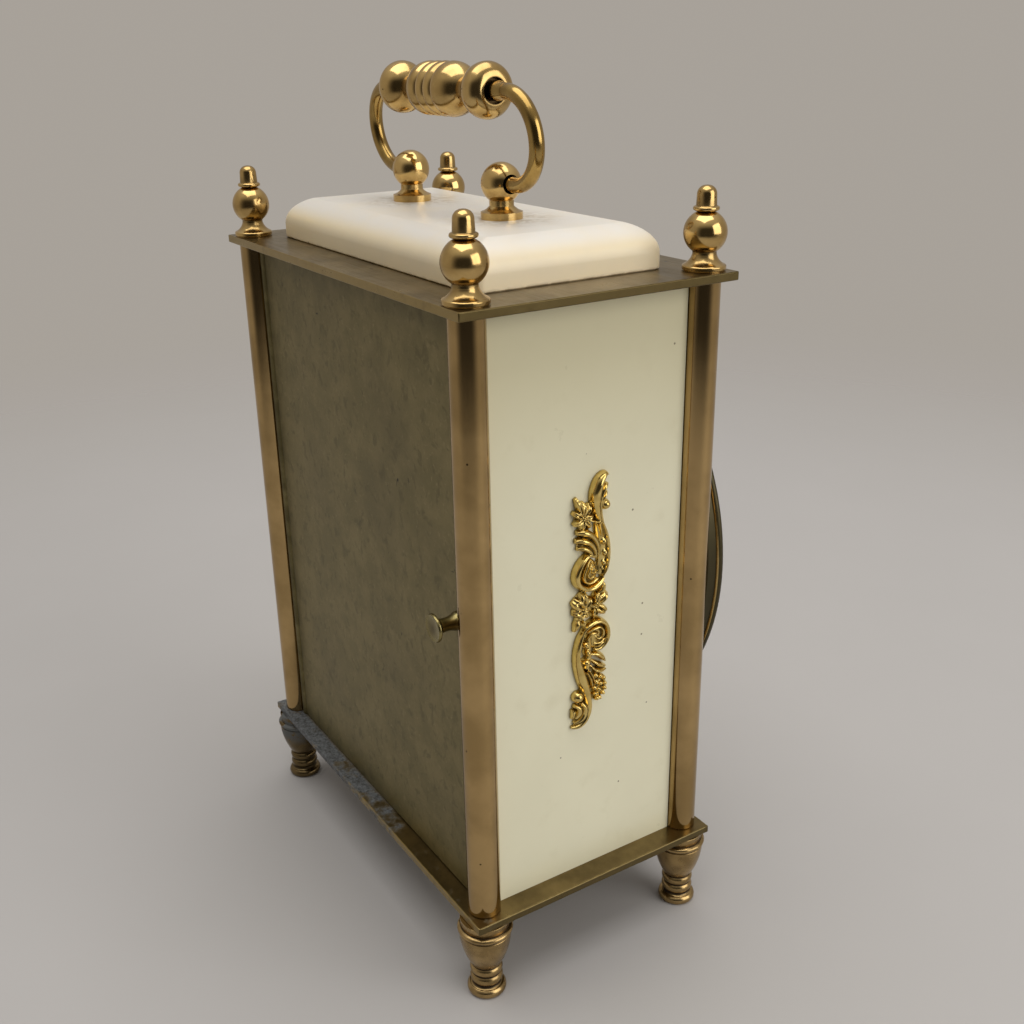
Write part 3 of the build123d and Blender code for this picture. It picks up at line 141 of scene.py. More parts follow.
class Paint(Nodes):
    """A material, with short calls for what the materials share."""

    def __init__(self, name):
        self.material = bpy.data.materials.new(name)
        self.material.use_nodes = True
        super().__init__(self.material.node_tree)
        self.shader = self.tree.nodes["Principled BSDF"]
        self.place = self.tree.nodes.new("ShaderNodeTexCoord").outputs["Object"]

    def set(self, **inputs):
        """Feeds the shader's inputs, with _ for a space in a name."""
        for name, value in inputs.items():
            self.feed(self.shader.inputs[name.replace("_", " ")], value)

    def stretched(self, scale):
        """The place on the object, scaled along each axis."""
        return self.node("ShaderNodeMapping", {"Vector": self.place, "Scale": scale}).outputs["Vector"]

    def noise(self, size_mm, detail=4.0, rough=0.55, scale=(1, 1, 1), warp=0.0):
        """Cloudy noise from 0 to 1 with features of about one size."""
        made = self.node("ShaderNodeTexNoise", {
            "Vector": self.stretched(scale), "Scale": 1.0 / (size_mm * MM), "Detail": detail,
            "Roughness": rough, "Distortion": warp})
        return made.outputs["Fac"]

    def spots(self, spacing_mm, radius, share):
        """Round spots on a share of the cells of a grid; the radius is a share of the spacing."""
        made = self.node("ShaderNodeTexVoronoi", {"Vector": self.place, "Scale": 1.0 / (spacing_mm * MM)})
        near = self.band(made.outputs["Distance"], radius, radius * 0.6)
        pick = self.node("ShaderNodeSeparateColor", {"Color": made.outputs["Color"]}).outputs["Red"]
        return self.times(near, self.band(pick, 1 - share, 1 - share + 0.02))

    def axis(self, name):
        """One coordinate of the place, in metres."""
        return self.node("ShaderNodeSeparateXYZ", {"Vector": self.place}).outputs[name]

    def off_middle(self, name):
        """How far the place lies from the frame's middle along one axis, in metres."""
        return self.maths("ABSOLUTE", self.axis(name))

    def along(self, name, start_mm, end_mm):
        """Rises from 0 to 1 from one place on an axis to another, in millimetres."""
        return self.band(self.axis(name), start_mm * MM, end_mm * MM)

    def distance(self, point, scale=(1, 1, 1)):
        """How far the place, scaled along each axis, lies from a point, in metres."""
        made = self.node("ShaderNodeVectorMath", {0: self.stretched(scale), 1: point}, operation="DISTANCE")
        return made.outputs["Value"]

    def attribute(self, name):
        """A number that the mesh carries at each point."""
        return self.node("ShaderNodeAttribute", attribute_name=name).outputs["Fac"]

    def bump(self, height, depth_mm, strength=1.0):
        """Sets the shader's normal from a height field."""
        made = self.node("ShaderNodeBump", {
            "Height": height, "Distance": depth_mm * MM, "Strength": strength})
        self.set(Normal=made.outputs["Normal"])

    def clear_where(self, share):
        """Lets light straight through where a share is 1."""
        clear = self.node("ShaderNodeBsdfTransparent").outputs["BSDF"]
        both = self.node("ShaderNodeMixShader", {0: share, 1: self.shader.outputs["BSDF"], 2: clear})
        self.feed(self.tree.nodes["Material Output"].inputs["Surface"], both.outputs["Shader"])


def pitted_brass(name, bright, dull, low_rough, high_rough, pits, stain=(0.06, 0.038, 0.016)):
    """Polished brass with smudges and a few tiny pits; its grooves are darkened partly by stain and partly by
    painted shade.
    """
    paint = Paint(name)
    smudge = paint.noise(7.0, 5.0)
    pit = paint.spots(1.6, 0.16, pits)
    # The groove value darkens towards the stain colour: real stain in the pits, painted shade in grooves and
    # mouths, and painted dark reflection on the bezel
    stained_and_shaded = paint.most(pit, paint.attribute("groove"))
    colour = paint.mix(paint.band(smudge, 0.35, 0.7), bright, dull)
    paint.set(Base_Color=paint.mix(stained_and_shaded, colour, stain), Metallic=1.0)
    fine = paint.noise(2.2, 3.0)
    rough = paint.between(paint.times(smudge, fine), low_rough, high_rough)
    paint.set(Roughness=paint.plus(rough, paint.times(stained_and_shaded, 0.25)))
    paint.bump(paint.minus(paint.times(fine, 0.15), pit), 0.03, 0.35)
    return paint


def polished_brass():
    """The finials and the grip."""
    return pitted_brass("polished_brass", (0.60, 0.415, 0.165), (0.41, 0.27, 0.10), 0.08, 0.42, 0.09).material


def post_brass():
    """The posts: the same brass, with painted shade in the cross hole where the bail goes in."""
    paint = pitted_brass("post_brass", (0.68, 0.47, 0.185), (0.47, 0.31, 0.115), 0.08, 0.42, 0.09)
    pivot_rise, hole_radius, blur = 7.9, 2.1, 0.1
    away = paint.distance(Vector((0, plates_middle_y, block_top + pivot_rise)) * MM, (0, 1, 1))
    hole_shade = paint.band(away, (hole_radius + blur) * MM, hole_radius * MM)
    post = node_middle("handle_post_right").x
    outside = paint.band(paint.off_middle("X"), (post - 3.6) * MM, (post - 3.2) * MM)
    plain = paint.shader.inputs["Base Color"].links[0].from_socket
    # Painted shade: the cross hole is painted near black on the posts' outer sides
    paint.set(Base_Color=paint.mix(paint.times(hole_shade, outside), plain, (0.02, 0.014, 0.008)))
    return paint.material


def bail_brass():
    """The bail, browner than the posts."""
    return pitted_brass("bail_brass", (0.43, 0.285, 0.092), (0.285, 0.183, 0.056), 0.10, 0.42, 0.08).material


def bezel_brass():
    """The bezel: polished in front, with a painted dark olive reflection on its outer wall and back."""
    # The last colour is the painted dark reflection, laid where the groove value is high
    return pitted_brass("bezel_brass", (0.60, 0.43, 0.17), (0.46, 0.32, 0.12), 0.12, 0.45, 0.04,
                        (0.046, 0.042, 0.025)).material


def knob_brass():
    """The door's pull, olive like the door but handled bright."""
    return pitted_brass("knob_brass", (0.27, 0.225, 0.095), (0.18, 0.145, 0.058), 0.2, 0.5, 0.05).material


def column_brass():
    """Browned tube with streaks along its length."""
    paint = Paint("column_brass")
    streak = paint.noise(1.1, 4.0, scale=(1, 1, 0.03))
    cloud = paint.noise(14.0, 4.0)
    colour = paint.mix(paint.band(cloud, 0.3, 0.7), (0.48, 0.33, 0.148), (0.34, 0.23, 0.098))
    pit = paint.spots(2.4, 0.12, 0.08)
    paint.set(Base_Color=paint.mix(pit, colour, (0.06, 0.04, 0.02)), Metallic=1.0)
    paint.set(Roughness=paint.between(paint.times(streak, cloud), 0.05, 0.26))
    paint.bump(paint.minus(streak, pit), 0.012, 0.25)
    return paint.material


def edge_wear(paint):
    """Near 1 along a plate's edges, broken up by noise."""
    across = paint.minus(plate_half_width * MM, paint.off_middle("X"))
    depth = paint.minus(paint.axis("Y"), plates_middle_y * MM)
    along = paint.minus(plate_half_depth * MM, paint.maths("ABSOLUTE", depth))
    inset = paint.maths("MINIMUM", across, along)
    ragged = paint.times(paint.noise(2.4, 6.0, 0.6), 1.1 * MM)
    return paint.band(paint.minus(inset, ragged), 0.1 * MM, -0.55 * MM)


def plate_brass(name, tarnished_ledge):
    """Dull brown-grey brass with worn edges; the base plate's rear ledge has a blue-grey crust."""
    paint = Paint(name)
    cloud = paint.noise(11.0, 6.0, 0.6)
    scratch = paint.noise(0.7, 3.0, scale=(0.06, 1, 1))
    colour = paint.mix(paint.band(cloud, 0.3, 0.72), (0.248, 0.182, 0.078), (0.135, 0.099, 0.043))
    spot = paint.spots(3.1, 0.2, 0.12)
    colour = paint.mix(spot, colour, (0.05, 0.038, 0.026))
    colour = paint.mix(edge_wear(paint), colour, (0.34, 0.25, 0.10))
    # Painted shade: the plates' end faces along X are painted darker than the rest
    edge_start, edge_full = plate_half_width - 0.4, plate_half_width - 0.15
    side_edge_shade = paint.band(paint.off_middle("X"), edge_start * MM, edge_full * MM)
    colour = paint.mix(paint.times(side_edge_shade, 0.8), colour, (0.092, 0.070, 0.030))
    rough = paint.between(paint.times(cloud, scratch), 0.22, 0.62)
    metal = 1.0
    height = paint.minus(scratch, spot)
    if tarnished_ledge:
        crust = ledge_crust(paint)
        grain = paint.noise(0.8, 4.0, 0.65)
        grey = paint.mix(paint.band(grain, 0.3, 0.7), (0.045, 0.045, 0.044), (0.155, 0.168, 0.178))
        colour = paint.mix(crust, colour, grey)
        rough = paint.plus(rough, paint.times(crust, 0.35))
        metal = paint.between(crust, 1.0, 0.1)
        height = paint.plus(height, paint.times(crust, paint.times(grain, 6.0)))
    paint.set(Base_Color=colour, Metallic=metal, Roughness=rough)
    paint.bump(height, 0.03, 0.35)
    return paint.material


def ledge_crust(paint):
    """Where the crust lies: in patches along the rear ledge, thickest towards the hinge."""
    ledge = paint.along("Y", plates_middle_y + 30.0, plates_middle_y + 32.0)
    hinge_side = paint.along("X", -45, 32)
    patchy = paint.plus(paint.noise(7.0, 6.0, 0.6), paint.times(hinge_side, 0.32))
    return paint.times(ledge, paint.band(patchy, 0.56, 0.76))


def antique_brass():
    """The turned feet, dark in their grooves, with a grey crust on the foot under the ledge's crust."""
    paint = Paint("antique_brass")
    cloud = paint.noise(4.0, 5.0)
    groove = paint.attribute("groove")
    colour = paint.mix(paint.band(cloud, 0.3, 0.7), (0.46, 0.32, 0.14), (0.28, 0.19, 0.08))
    dark = paint.band(paint.plus(groove, paint.times(cloud, 0.45)), 0.38, 0.85)
    colour = paint.mix(dark, colour, (0.035, 0.025, 0.018))
    hinge_corner = paint.times(paint.along("X", 45, 50), paint.along("Y", 20, 30))
    colour = paint.mix(paint.times(hinge_corner, 0.75), colour, (0.085, 0.062, 0.030))
    crusted = paint.times(hinge_corner, paint.along("Z", 12, 17))
    crusted = paint.times(crusted, paint.band(paint.noise(3.0, 5.0), 0.36, 0.5))
    paint.set(Base_Color=paint.mix(crusted, colour, (0.12, 0.125, 0.12)))
    paint.set(Metallic=paint.between(crusted, 1.0, 0.15))
    rough = paint.plus(paint.between(cloud, 0.14, 0.38), paint.times(dark, 0.25))
    paint.set(Roughness=paint.plus(rough, paint.times(crusted, 0.4)))
    paint.bump(cloud, 0.02, 0.3)
    return paint.material


def gilt():
    """Bright gilding, with painted shade in the hollows and along the foot where it meets the panel."""
    paint = Paint("gilt")
    cloud = paint.noise(2.0, 4.0)
    hollow = paint.attribute("groove")
    colour = paint.mix(paint.band(cloud, 0.3, 0.7), (0.80, 0.60, 0.215), (0.62, 0.45, 0.145))
    # Painted shade: the groove value darkens the gilt to brown in its hollows and near the panel
    paint.set(Base_Color=paint.mix(hollow, colour, (0.10, 0.07, 0.024)), Metallic=1.0)
    paint.set(Roughness=paint.plus(paint.between(cloud, 0.06, 0.2), paint.times(hollow, 0.25)))
    paint.bump(cloud, 0.03, 0.2)
    return paint.material


def door_brass():
    """Sheet brass with an olive tarnish: fine mottling, upright smears, dark scars, and painted shade along
    its rim.
    """
    paint = Paint("door_brass")
    patch = paint.noise(9.0, 8.0, 0.66)
    fleck = paint.noise(1.3, 5.0, 0.62, warp=0.4)
    smear = paint.noise(2.8, 6.0, 0.64, scale=(1, 1, 0.75), warp=0.5)
    stain = paint.noise(34.0, 4.0)
    colour = paint.mix(paint.band(patch, 0.34, 0.68), (0.178, 0.146, 0.056), (0.240, 0.195, 0.084))
    colour = paint.mix(paint.times(paint.band(fleck, 0.54, 0.72), 0.7), colour, (0.285, 0.232, 0.110))
    colour = paint.mix(paint.times(paint.band(smear, 0.48, 0.33), 0.55), colour, (0.100, 0.082, 0.030))
    scar = paint.times(paint.band(paint.noise(1.8, 4.0, 0.55, scale=(1, 1, 0.5), warp=1.5), 0.33, 0.26),
                       paint.band(stain, 0.47, 0.56))
    colour = paint.mix(scar, colour, (0.020, 0.016, 0.008))
    colour = paint.mix(paint.times(paint.band(stain, 0.45, 0.7), 0.3), colour, (0.115, 0.094, 0.042))
    # Painted shade along the hinge edge and the top edge
    paint.set(Base_Color=paint.mix(door_edge_shade(paint), colour, (0.075, 0.062, 0.022)), Metallic=0.7)
    paint.set(Roughness=paint.between(paint.plus(patch, fleck), 0.36, 0.46))
    paint.bump(paint.minus(paint.times(fleck, 0.5), scar), 0.05, 0.3)
    return paint.material


def door_edge_shade(paint):
    """Where painted shade darkens the door: along its hinge edge beside the column and along its top edge
    under the top plate.
    """
    hinge_edge = paint.along("X", 43, 54)
    top_edge = paint.along("Z", top_under - 9, top_under - 1)
    ragged = paint.band(paint.noise(6.0, 5.0), 0.2, 0.65)
    return paint.times(paint.most(hinge_edge, paint.times(top_edge, 0.6)), ragged)


def cream_block():
    """Cream lacquer with painted light: the top is painted whiter and the sides yellower, as the light falls
    on them; faint mottling, and grime along its foot and round the posts.
    """
    paint = Paint("cream_block")
    cloud = paint.noise(13.0, 5.0)
    fleck = paint.noise(2.0, 4.0)
    # Painted light: the top gets a whiter cream than the sides
    top = paint.along("Z", block_top - 4.5, block_top - 1.0)
    colour = paint.mix(top, (0.93, 0.80, 0.55), (0.78, 0.745, 0.68))
    colour = paint.mix(paint.times(paint.band(cloud, 0.4, 0.75), 0.4), colour, (0.82, 0.72, 0.54))
    foot = paint.along("Z", top_top + 0.9, top_top)
    grime = paint.times(foot, paint.band(fleck, 0.3, 0.6))
    for name in sides:
        post = node_middle("handle_post_" + name)
        away = paint.distance((post.x * MM, post.y * MM, 0), (1, 1, 0))
        ring = paint.times(paint.band(away, 17 * MM, 4 * MM), paint.band(fleck, 0.36, 0.62))
        grime = paint.most(grime, paint.times(ring, 0.95))
    colour = paint.mix(paint.times(grime, 0.7), colour, (0.40, 0.31, 0.19))
    speck = paint.spots(7.0, 0.06, 0.25)
    paint.set(Base_Color=paint.mix(speck, colour, (0.25, 0.2, 0.14)))
    paint.set(Roughness=paint.between(cloud, 0.24, 0.5), Coat_Weight=0.35, Coat_Roughness=0.22)
    paint.set(Subsurface_Weight=0.06, Subsurface_Radius=(0.004, 0.003, 0.002))
    paint.bump(paint.plus(cloud, paint.times(fleck, 0.3)), 0.05, 0.25)
    return paint.material


def cream_panel():
    """Gloss cream sheet, a little wavy, with a painted shadow that darkens and yellows it towards the top,
    and a few specks.
    """
    paint = Paint("cream_panel")
    wave = paint.noise(26.0, 3.0)
    cloud = paint.noise(8.0, 5.0)
    colour = paint.mix(paint.band(wave, 0.3, 0.7), (0.83, 0.80, 0.595), (0.80, 0.77, 0.57))
    colour = paint.mix(paint.times(paint.band(cloud, 0.55, 0.8), 0.4), colour, (0.70, 0.66, 0.46))
    # Painted shadow of the top plate's overhang, darker and yellower towards the top
    overhang_shadow = paint.along("Z", dial_height + 20, top_under)
    colour = paint.mix(paint.times(overhang_shadow, 0.8), colour, (0.62, 0.565, 0.355))
    speck = paint.spots(8.0, 0.04, 0.16)
    paint.set(Base_Color=paint.mix(speck, colour, (0.22, 0.18, 0.11)))
    paint.set(Roughness=paint.between(cloud, 0.22, 0.40), Coat_Weight=0.3, Coat_Roughness=0.16)
    paint.bump(wave, 0.35, 0.3)
    return paint.material


def dial_paint():
    """Ivory dial enamel, warmer towards its edge."""
    paint = Paint("dial_paint")
    cloud = paint.noise(10.0, 5.0)
    grain = paint.noise(0.5, 2.0)
    across = paint.distance((0, 0, dial_height * MM), (1, 0, 1))
    colour = paint.mix(paint.band(cloud, 0.3, 0.75), (0.83, 0.79, 0.67), (0.77, 0.72, 0.58))
    paint.set(Base_Color=paint.mix(paint.band(across, 34 * MM, 54 * MM), colour, (0.70, 0.62, 0.46)))
    paint.set(Roughness=paint.between(cloud, 0.35, 0.5))
    paint.bump(grain, 0.01, 0.3)
    return paint.material


def black_paint():
    """Black enamel on the numerals and the hands."""
    paint = Paint("black_paint")
    cloud = paint.noise(2.5, 4.0)
    paint.set(Base_Color=paint.mix(cloud, (0.010, 0.010, 0.012), (0.030, 0.028, 0.026)))
    paint.set(Roughness=paint.between(cloud, 0.22, 0.42))
    paint.bump(cloud, 0.01, 0.2)
    return paint.material


def movement_brass():
    """Brushed brass plates and wheels."""
    paint = Paint("movement_brass")
    brush = paint.noise(0.35, 3.0, scale=(0.04, 1, 1))
    cloud = paint.noise(7.0, 4.0)
    colour = paint.mix(paint.band(cloud, 0.3, 0.75), (0.76, 0.56, 0.25), (0.58, 0.40, 0.16))
    paint.set(Base_Color=paint.mix(paint.times(brush, 0.3), colour, (0.42, 0.29, 0.12)), Metallic=1.0)
    paint.set(Roughness=paint.between(brush, 0.2, 0.46))
    paint.bump(brush, 0.01, 0.3)
    return paint.material


def steel():
    """Ground steel."""
    paint = Paint("steel")
    brush = paint.noise(0.4, 3.0, scale=(1, 1, 0.06))
    cloud = paint.noise(4.0, 4.0)
    paint.set(Base_Color=paint.mix(cloud, (0.52, 0.52, 0.54), (0.36, 0.35, 0.35)), Metallic=1.0)
    paint.set(Roughness=paint.between(brush, 0.2, 0.42))
    paint.bump(brush, 0.008, 0.3)
    return paint.material


def glass():
    """Clear glass that lets light through to the dial."""
    paint = Paint("glass")
    smear = paint.noise(20.0, 4.0)
    paint.set(Base_Color=(0.97, 0.985, 0.98, 1.0), Transmission_Weight=1.0, IOR=1.46)
    paint.set(Roughness=paint.between(smear, 0.0, 0.03))
    paint.clear_where(paint.node("ShaderNodeLightPath").outputs["Is Shadow Ray"])
    return paint.material


fade_start, fade_end = 0.28, 0.75


def floor_paint():
    """Pale, matt floor that fades into the room."""
    paint = Paint("floor_paint")
    cloud = paint.noise(60.0, 3.0)
    paint.set(Base_Color=paint.mix(cloud, (0.46, 0.447, 0.44), (0.44, 0.428, 0.42)), Roughness=0.65)
    paint.clear_where(paint.band(paint.distance((0, 0, 0)), fade_start, fade_end))
    return paint.material


materials = {
    "plate_brass": plate_brass("plate_brass", False),
    "base_plate_brass": plate_brass("base_plate_brass", True),
    "column_brass": column_brass(),
    "polished_brass": polished_brass(),
    "post_brass": post_brass(),
    "bail_brass": bail_brass(),
    "knob_brass": knob_brass(),
    "antique_brass": antique_brass(),
    "gilt": gilt(),
    "door_brass": door_brass(),
    "cream_block": cream_block(),
    "cream_panel": cream_panel(),
    "dial_paint": dial_paint(),
    "black_paint": black_paint(),
    "bezel_brass": bezel_brass(),
    "glass": glass(),
    "movement_brass": movement_brass(),
    "steel": steel(),
}
own_finish = {
    "handle_post_left": "post_brass",
    "handle_post_right": "post_brass",
    "handle_bail": "bail_brass",
}
for subpart in frame["record"]["subparts"]:
    skin = nodes[subpart["node"]].data.materials
    skin.clear()
    skin.append(materials[own_finish.get(subpart["node"], subpart["material_slot"])])


# Mesh building


def arc(start, middle, end, count=14):
    """Points along the circle through three points, after the first."""
    (ax, ay), (bx, by), (cx, cy) = start, middle, end
    d = 2 * (ax * (by - cy) + bx * (cy - ay) + cx * (ay - by))
    ux = ((ax**2 + ay**2) * (by - cy) + (bx**2 + by**2) * (cy - ay) + (cx**2 + cy**2) * (ay - by)) / d
    uy = ((ax**2 + ay**2) * (cx - bx) + (bx**2 + by**2) * (ax - cx) + (cx**2 + cy**2) * (bx - ax)) / d
    radius = math.hypot(ax - ux, ay - uy)
    first, mid, last = (math.atan2(y - uy, x - ux) for x, y in (start, middle, end))
    turn = (last - first) % math.tau
    if (mid - first) % math.tau > turn:
        turn -= math.tau
    angles = [first + turn * step / count for step in range(1, count + 1)]
    return [(ux + radius * math.cos(angle), uy + radius * math.sin(angle)) for angle in angles]


def section(start, *steps):
    """Radii and heights along a turned profile: each step is a point, or the middle and end of an arc."""
    points = [start]
    for step in steps:
        if isinstance(step[0], tuple):
            points += arc(points[-1], *step)
        else:
            points.append(step)
    return points


def groove_depths(profile, reach=1.1):
    """How far each profile point lies inside its neighbours, from 0 to 1."""
    samples, full_depth = 15, 0.45
    radii = np.array([point[0] for point in profile])
    steps = [math.dist(a, b) for a, b in zip(profile, profile[1:])]
    along = np.concatenate([[0.0], np.cumsum(steps)])
    depths = []
    for here, radius in zip(along, radii):
        fine = np.interp(np.linspace(here - reach, here + reach, samples), along, radii)
        depths.append(float(np.clip((fine.mean() - radius) / full_depth, 0, 1)))
    return depths


def turned(profile, grooves=None, bored=False, turns=96):
    """A mesh of a profile turned about Z, in millimetres, with a groove value at each point."""
    form = bmesh.new()
    layer = form.verts.layers.float.new("groove")
    rings = []
    for (radius, height), depth in zip(profile, grooves or groove_depths(profile)):
        count = turns if radius > 1e-6 else 1
        ring = []
        for step in range(count):
            angle = math.tau * step / turns
            vertex = form.verts.new((radius * math.cos(angle), radius * math.sin(angle), height))
            vertex[layer] = depth
            ring.append(vertex)
        rings.append(ring)
    for low, high in zip(rings, rings[1:] + rings[:bored]):
        for step in range(turns):
            following = (step + 1) % turns
            loop = [low[step % len(low)], low[following % len(low)],
                    high[following % len(high)], high[step % len(high)]]
            loop = list(dict.fromkeys(loop))
            if len(loop) > 2:
                form.faces.new(loop)
    for ring in (rings[0], rings[-1]):
        if len(ring) > 1 and not bored:
            form.faces.new(ring)
    bmesh.ops.recalc_face_normals(form, faces=form.faces)
    return form


def bridge(form, first, second):
    """Faces between two closed loops of points."""
    for here in range(len(first)):
        following = (here + 1) % len(first)
        form.faces.new((first[here], first[following], second[following], second[here]))


def loft(form, rings):
    """Faces from each loop of points to the next, and over both ends."""
    for first, second in zip(rings, rings[1:]):
        bridge(form, first, second)
    form.faces.new(rings[0])
    form.faces.new(rings[-1])


def as_mesh(name, form):
    """A mesh of a form, which is used up."""
    mesh = bpy.data.meshes.new(name)
    form.to_mesh(mesh)
    form.free()
    return mesh


def add_object(name, data):
    """A new object in the scene."""
    made = bpy.data.objects.new(name, data)
    bpy.context.scene.collection.objects.link(made)
    return made


sharp_angle = 38.0


def finish_piece(name, form, place, material, body, replaced=(), ease_mm=0.0, crease=sharp_angle):
    """Makes a piece of a form drawn in millimetres, puts it in place and rides it on a body."""
    mesh = as_mesh(name, form)
    mesh.transform(Matrix.Scale(MM, 4) @ place)
    mesh.polygons.foreach_set("use_smooth", [True] * len(mesh.polygons))
    mesh.set_sharp_from_angle(angle=math.radians(crease))
    mesh.materials.append(materials[material])
    piece = add_object(name, mesh)
    if ease_mm:
        ease = piece.modifiers.new("ease", "BEVEL")
        ease.width = ease_mm * MM
        ease.segments = 2
        ease.limit_method = "ANGLE"
        ease.angle_limit = math.radians(sharp_angle)
    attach(piece, body)
    if replaced:
        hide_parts(*replaced)


def add_set(kind, ending, profile, height, material, ease_mm=0.0):
    """The same turned piece at each corner of the case."""
    for corner in corners:
        node = kind + "_" + corner
        stand = node_middle(node)
        place = Matrix.Translation((stand.x, stand.y, height))
        finish_piece(node + ending, turned(profile), place, material, "case", [node], ease_mm)


# Finials


def finial_profile():
    """Base, neck, ball, collar and domed tip, from the plate up."""
    ball, middle, neck, collar = 4.9, 8.3, 2.7, 1.75
    ball_low = middle - math.sqrt(ball**2 - neck**2)
    ball_high = middle + math.sqrt(ball**2 - collar**2)
    return section(
        (0, 0), (4.7, 0), (4.7, 0.25), (4.95, 0.3), (4.95, 1.05), (4.75, 1.3),
        ((3.5, 2.15), (2.75, 3.5)), (neck, 3.6), (neck, ball_low),
        ((ball, middle), (collar, ball_high)),
        (2.35, ball_high + 0.1), ((2.95, ball_high + 0.6), (2.4, ball_high + 1.1)),
        (2.3, ball_high + 1.25), (2.2, ball_high + 3.6),
        ((1.55, ball_high + 5.05), (0, ball_high + 5.5)),
    )


add_set("finial", "_turned", finial_profile(), top_top, "polished_brass", ease_mm=0.08)


# Grip


def grip_profile():
    """Half of the grip's section, from its middle out to the mouth where the bail leaves it."""
    return section(
        (5.4, 0), ((6.0, 0.9), (6.2, 1.8)), ((6.0, 2.7), (5.4, 3.6)), ((6.0, 4.5), (6.2, 5.4)),
        ((5.31, 8.65), (2.9, 11.0)), (2.9, 15.25), ((5.3, 17.2), (6.2, 20.15)),
        ((5.32, 22.36), (3.15, 23.35)), (2.85, 23.35), (2.85, 21.95), (2.2, 21.95),
    )


def add_grip():
    """The grip along X, with painted shade in its ring grooves and mouths."""
    half = grip_profile()
    whole = [(radius, -along) for radius, along in half[:0:-1]] + half
    # Painted shade: the inside of each mouth gets a full groove value, which the brass paints dark
    mouth_start, mouth_radius = 21, 3.0
    grooves = [max(depth, float(abs(along) > mouth_start and radius < mouth_radius))
               for depth, (radius, along) in zip(groove_depths(whole, 0.5), whole)]
    place = Matrix.Translation(node_middle("handle_grip")) @ Matrix.Rotation(math.pi / 2, 4, "Y")
    finish_piece("handle_grip_turned", turned(whole, grooves, bored=True), place, "polished_brass", "grip",
                 ["handle_grip"])


add_grip()


# Door knob


def add_knob():
    """A flat head on a waisted stem, and the rivet that holds it through the door."""
    head = 6.6
    profile = section(
        (0, -2.1), (1.7, -2.1), (2.0, -1.8), (2.0, -1.5), (1.2, -1.5), (1.2, 0), (2.3, 0), (2.3, 0.5),
        ((1.75, 1.9), (1.7, 4.4)), ((1.95, 5.3), (2.6, 5.7)), (3.1, 5.7), (3.35, 5.9), (3.35, 6.3),
        (3.15, head), (2.7, head - 0.1), (0, head - 0.1),
    )
    low, high = (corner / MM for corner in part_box("door_knob"))
    place = Matrix.Translation(((low.x + high.x) / 2, high.y - head, (low.z + high.z) / 2))
    finish_piece("door_knob_turned", turned(profile, turns=48), place @ Matrix.Rotation(-math.pi / 2, 4, "X"),
                 "knob_brass", "door", ["door_knob"], ease_mm=0.06)


add_knob()


# Bezel


def add_bezel():
    """A ring with a dark outer wall, a rolled edge, a hollow and an inner bead that frames the glass."""
    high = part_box("bezel")[1] / MM
    rim = high.x
    wall = [(rim - 5.2, 2.8), (rim - 5.2, 0), (rim - 1.1, 0), (rim - 0.9, 0.2), (rim - 0.8, 2.7)]
    roll = section((rim - 0.55, 2.8), ((rim, 3.7), (rim - 0.6, 4.7)))
    face = section(
        (rim - 1.0, 4.8), ((rim - 2.6, 4.65), (rim - 3.8, 5.5)), (rim - 4.1, 5.75), (rim - 4.6, 5.75),
        (rim - 7.3, 4.75), (rim - 7.5, 4.5), ((rim - 8.3, 5.1), (rim - 9.1, 4.5)), (rim - 9.3, 4.2),
        (rim - 9.8, 4.0), (rim - 9.8, 2.8),
    )
    # Painted dark reflection: the outer wall and rolled edge get high groove values, and the first points of
    # the roll get little of it; the face's hollows get painted shade
    wall_dark_reflection, roll_dark_reflection, edge_dark_reflection, edge_points = 0.96, 0.95, 0.1, 3
    grooves = [wall_dark_reflection] * len(wall) + [edge_dark_reflection] * edge_points
    grooves += [roll_dark_reflection] * (len(roll) - edge_points) + groove_depths(face, 0.6)
    ring = turned(wall + roll + face, grooves, bored=True, turns=180)
    place = Matrix.Translation((0, high.y, dial_height)) @ Matrix.Rotation(math.pi / 2, 4, "X")
    finish_piece("bezel_ring", ring, place, "bezel_brass", "case", ["bezel"])


add_bezel()


# Feet


def foot_profile():
    """Toe, two rings, cup, rim and crown, from the table up to the base plate."""
    under_plate = base_low.z / MM
    rim = under_plate - 2.3
    return section(
        (0, 0), (4.3, 0), (4.65, 0.3), ((4.9, 1.1), (4.6, 2.0)), (4.3, 2.3), ((3.65, 2.6), (3.5, 3.2)),
        ((4.1, 4.4), (3.6, 5.6)), (3.45, 5.8), (3.6, 6.0), ((4.1, 7.1), (3.75, 8.1)), (3.5, 8.4),
        (3.85, 8.75), ((5.6, 13.0), (6.5, rim - 1.9)), (6.25, rim - 1.75), (6.35, rim - 1.5),
        ((6.9, rim - 0.85), (6.45, rim - 0.15)), (5.95, rim), (6.05, rim + 0.2), (6.2, under_plate),
        (0, under_plate),
    )


add_set("foot", "_turned", foot_profile(), 0, "antique_brass", ease_mm=0.08)


# Columns


def column_profile():
    """A rod between the plates with eased ends."""
    radius, end_radius, ease = 4.0, 3.8, 0.25
    return section(
        (0, base_top), (end_radius, base_top), (radius, base_top + ease),
        (radius, top_under - ease), (end_radius, top_under), (0, top_under),
    )


add_set("column", "_tube", column_profile(), 0, "column_brass")


# Plates


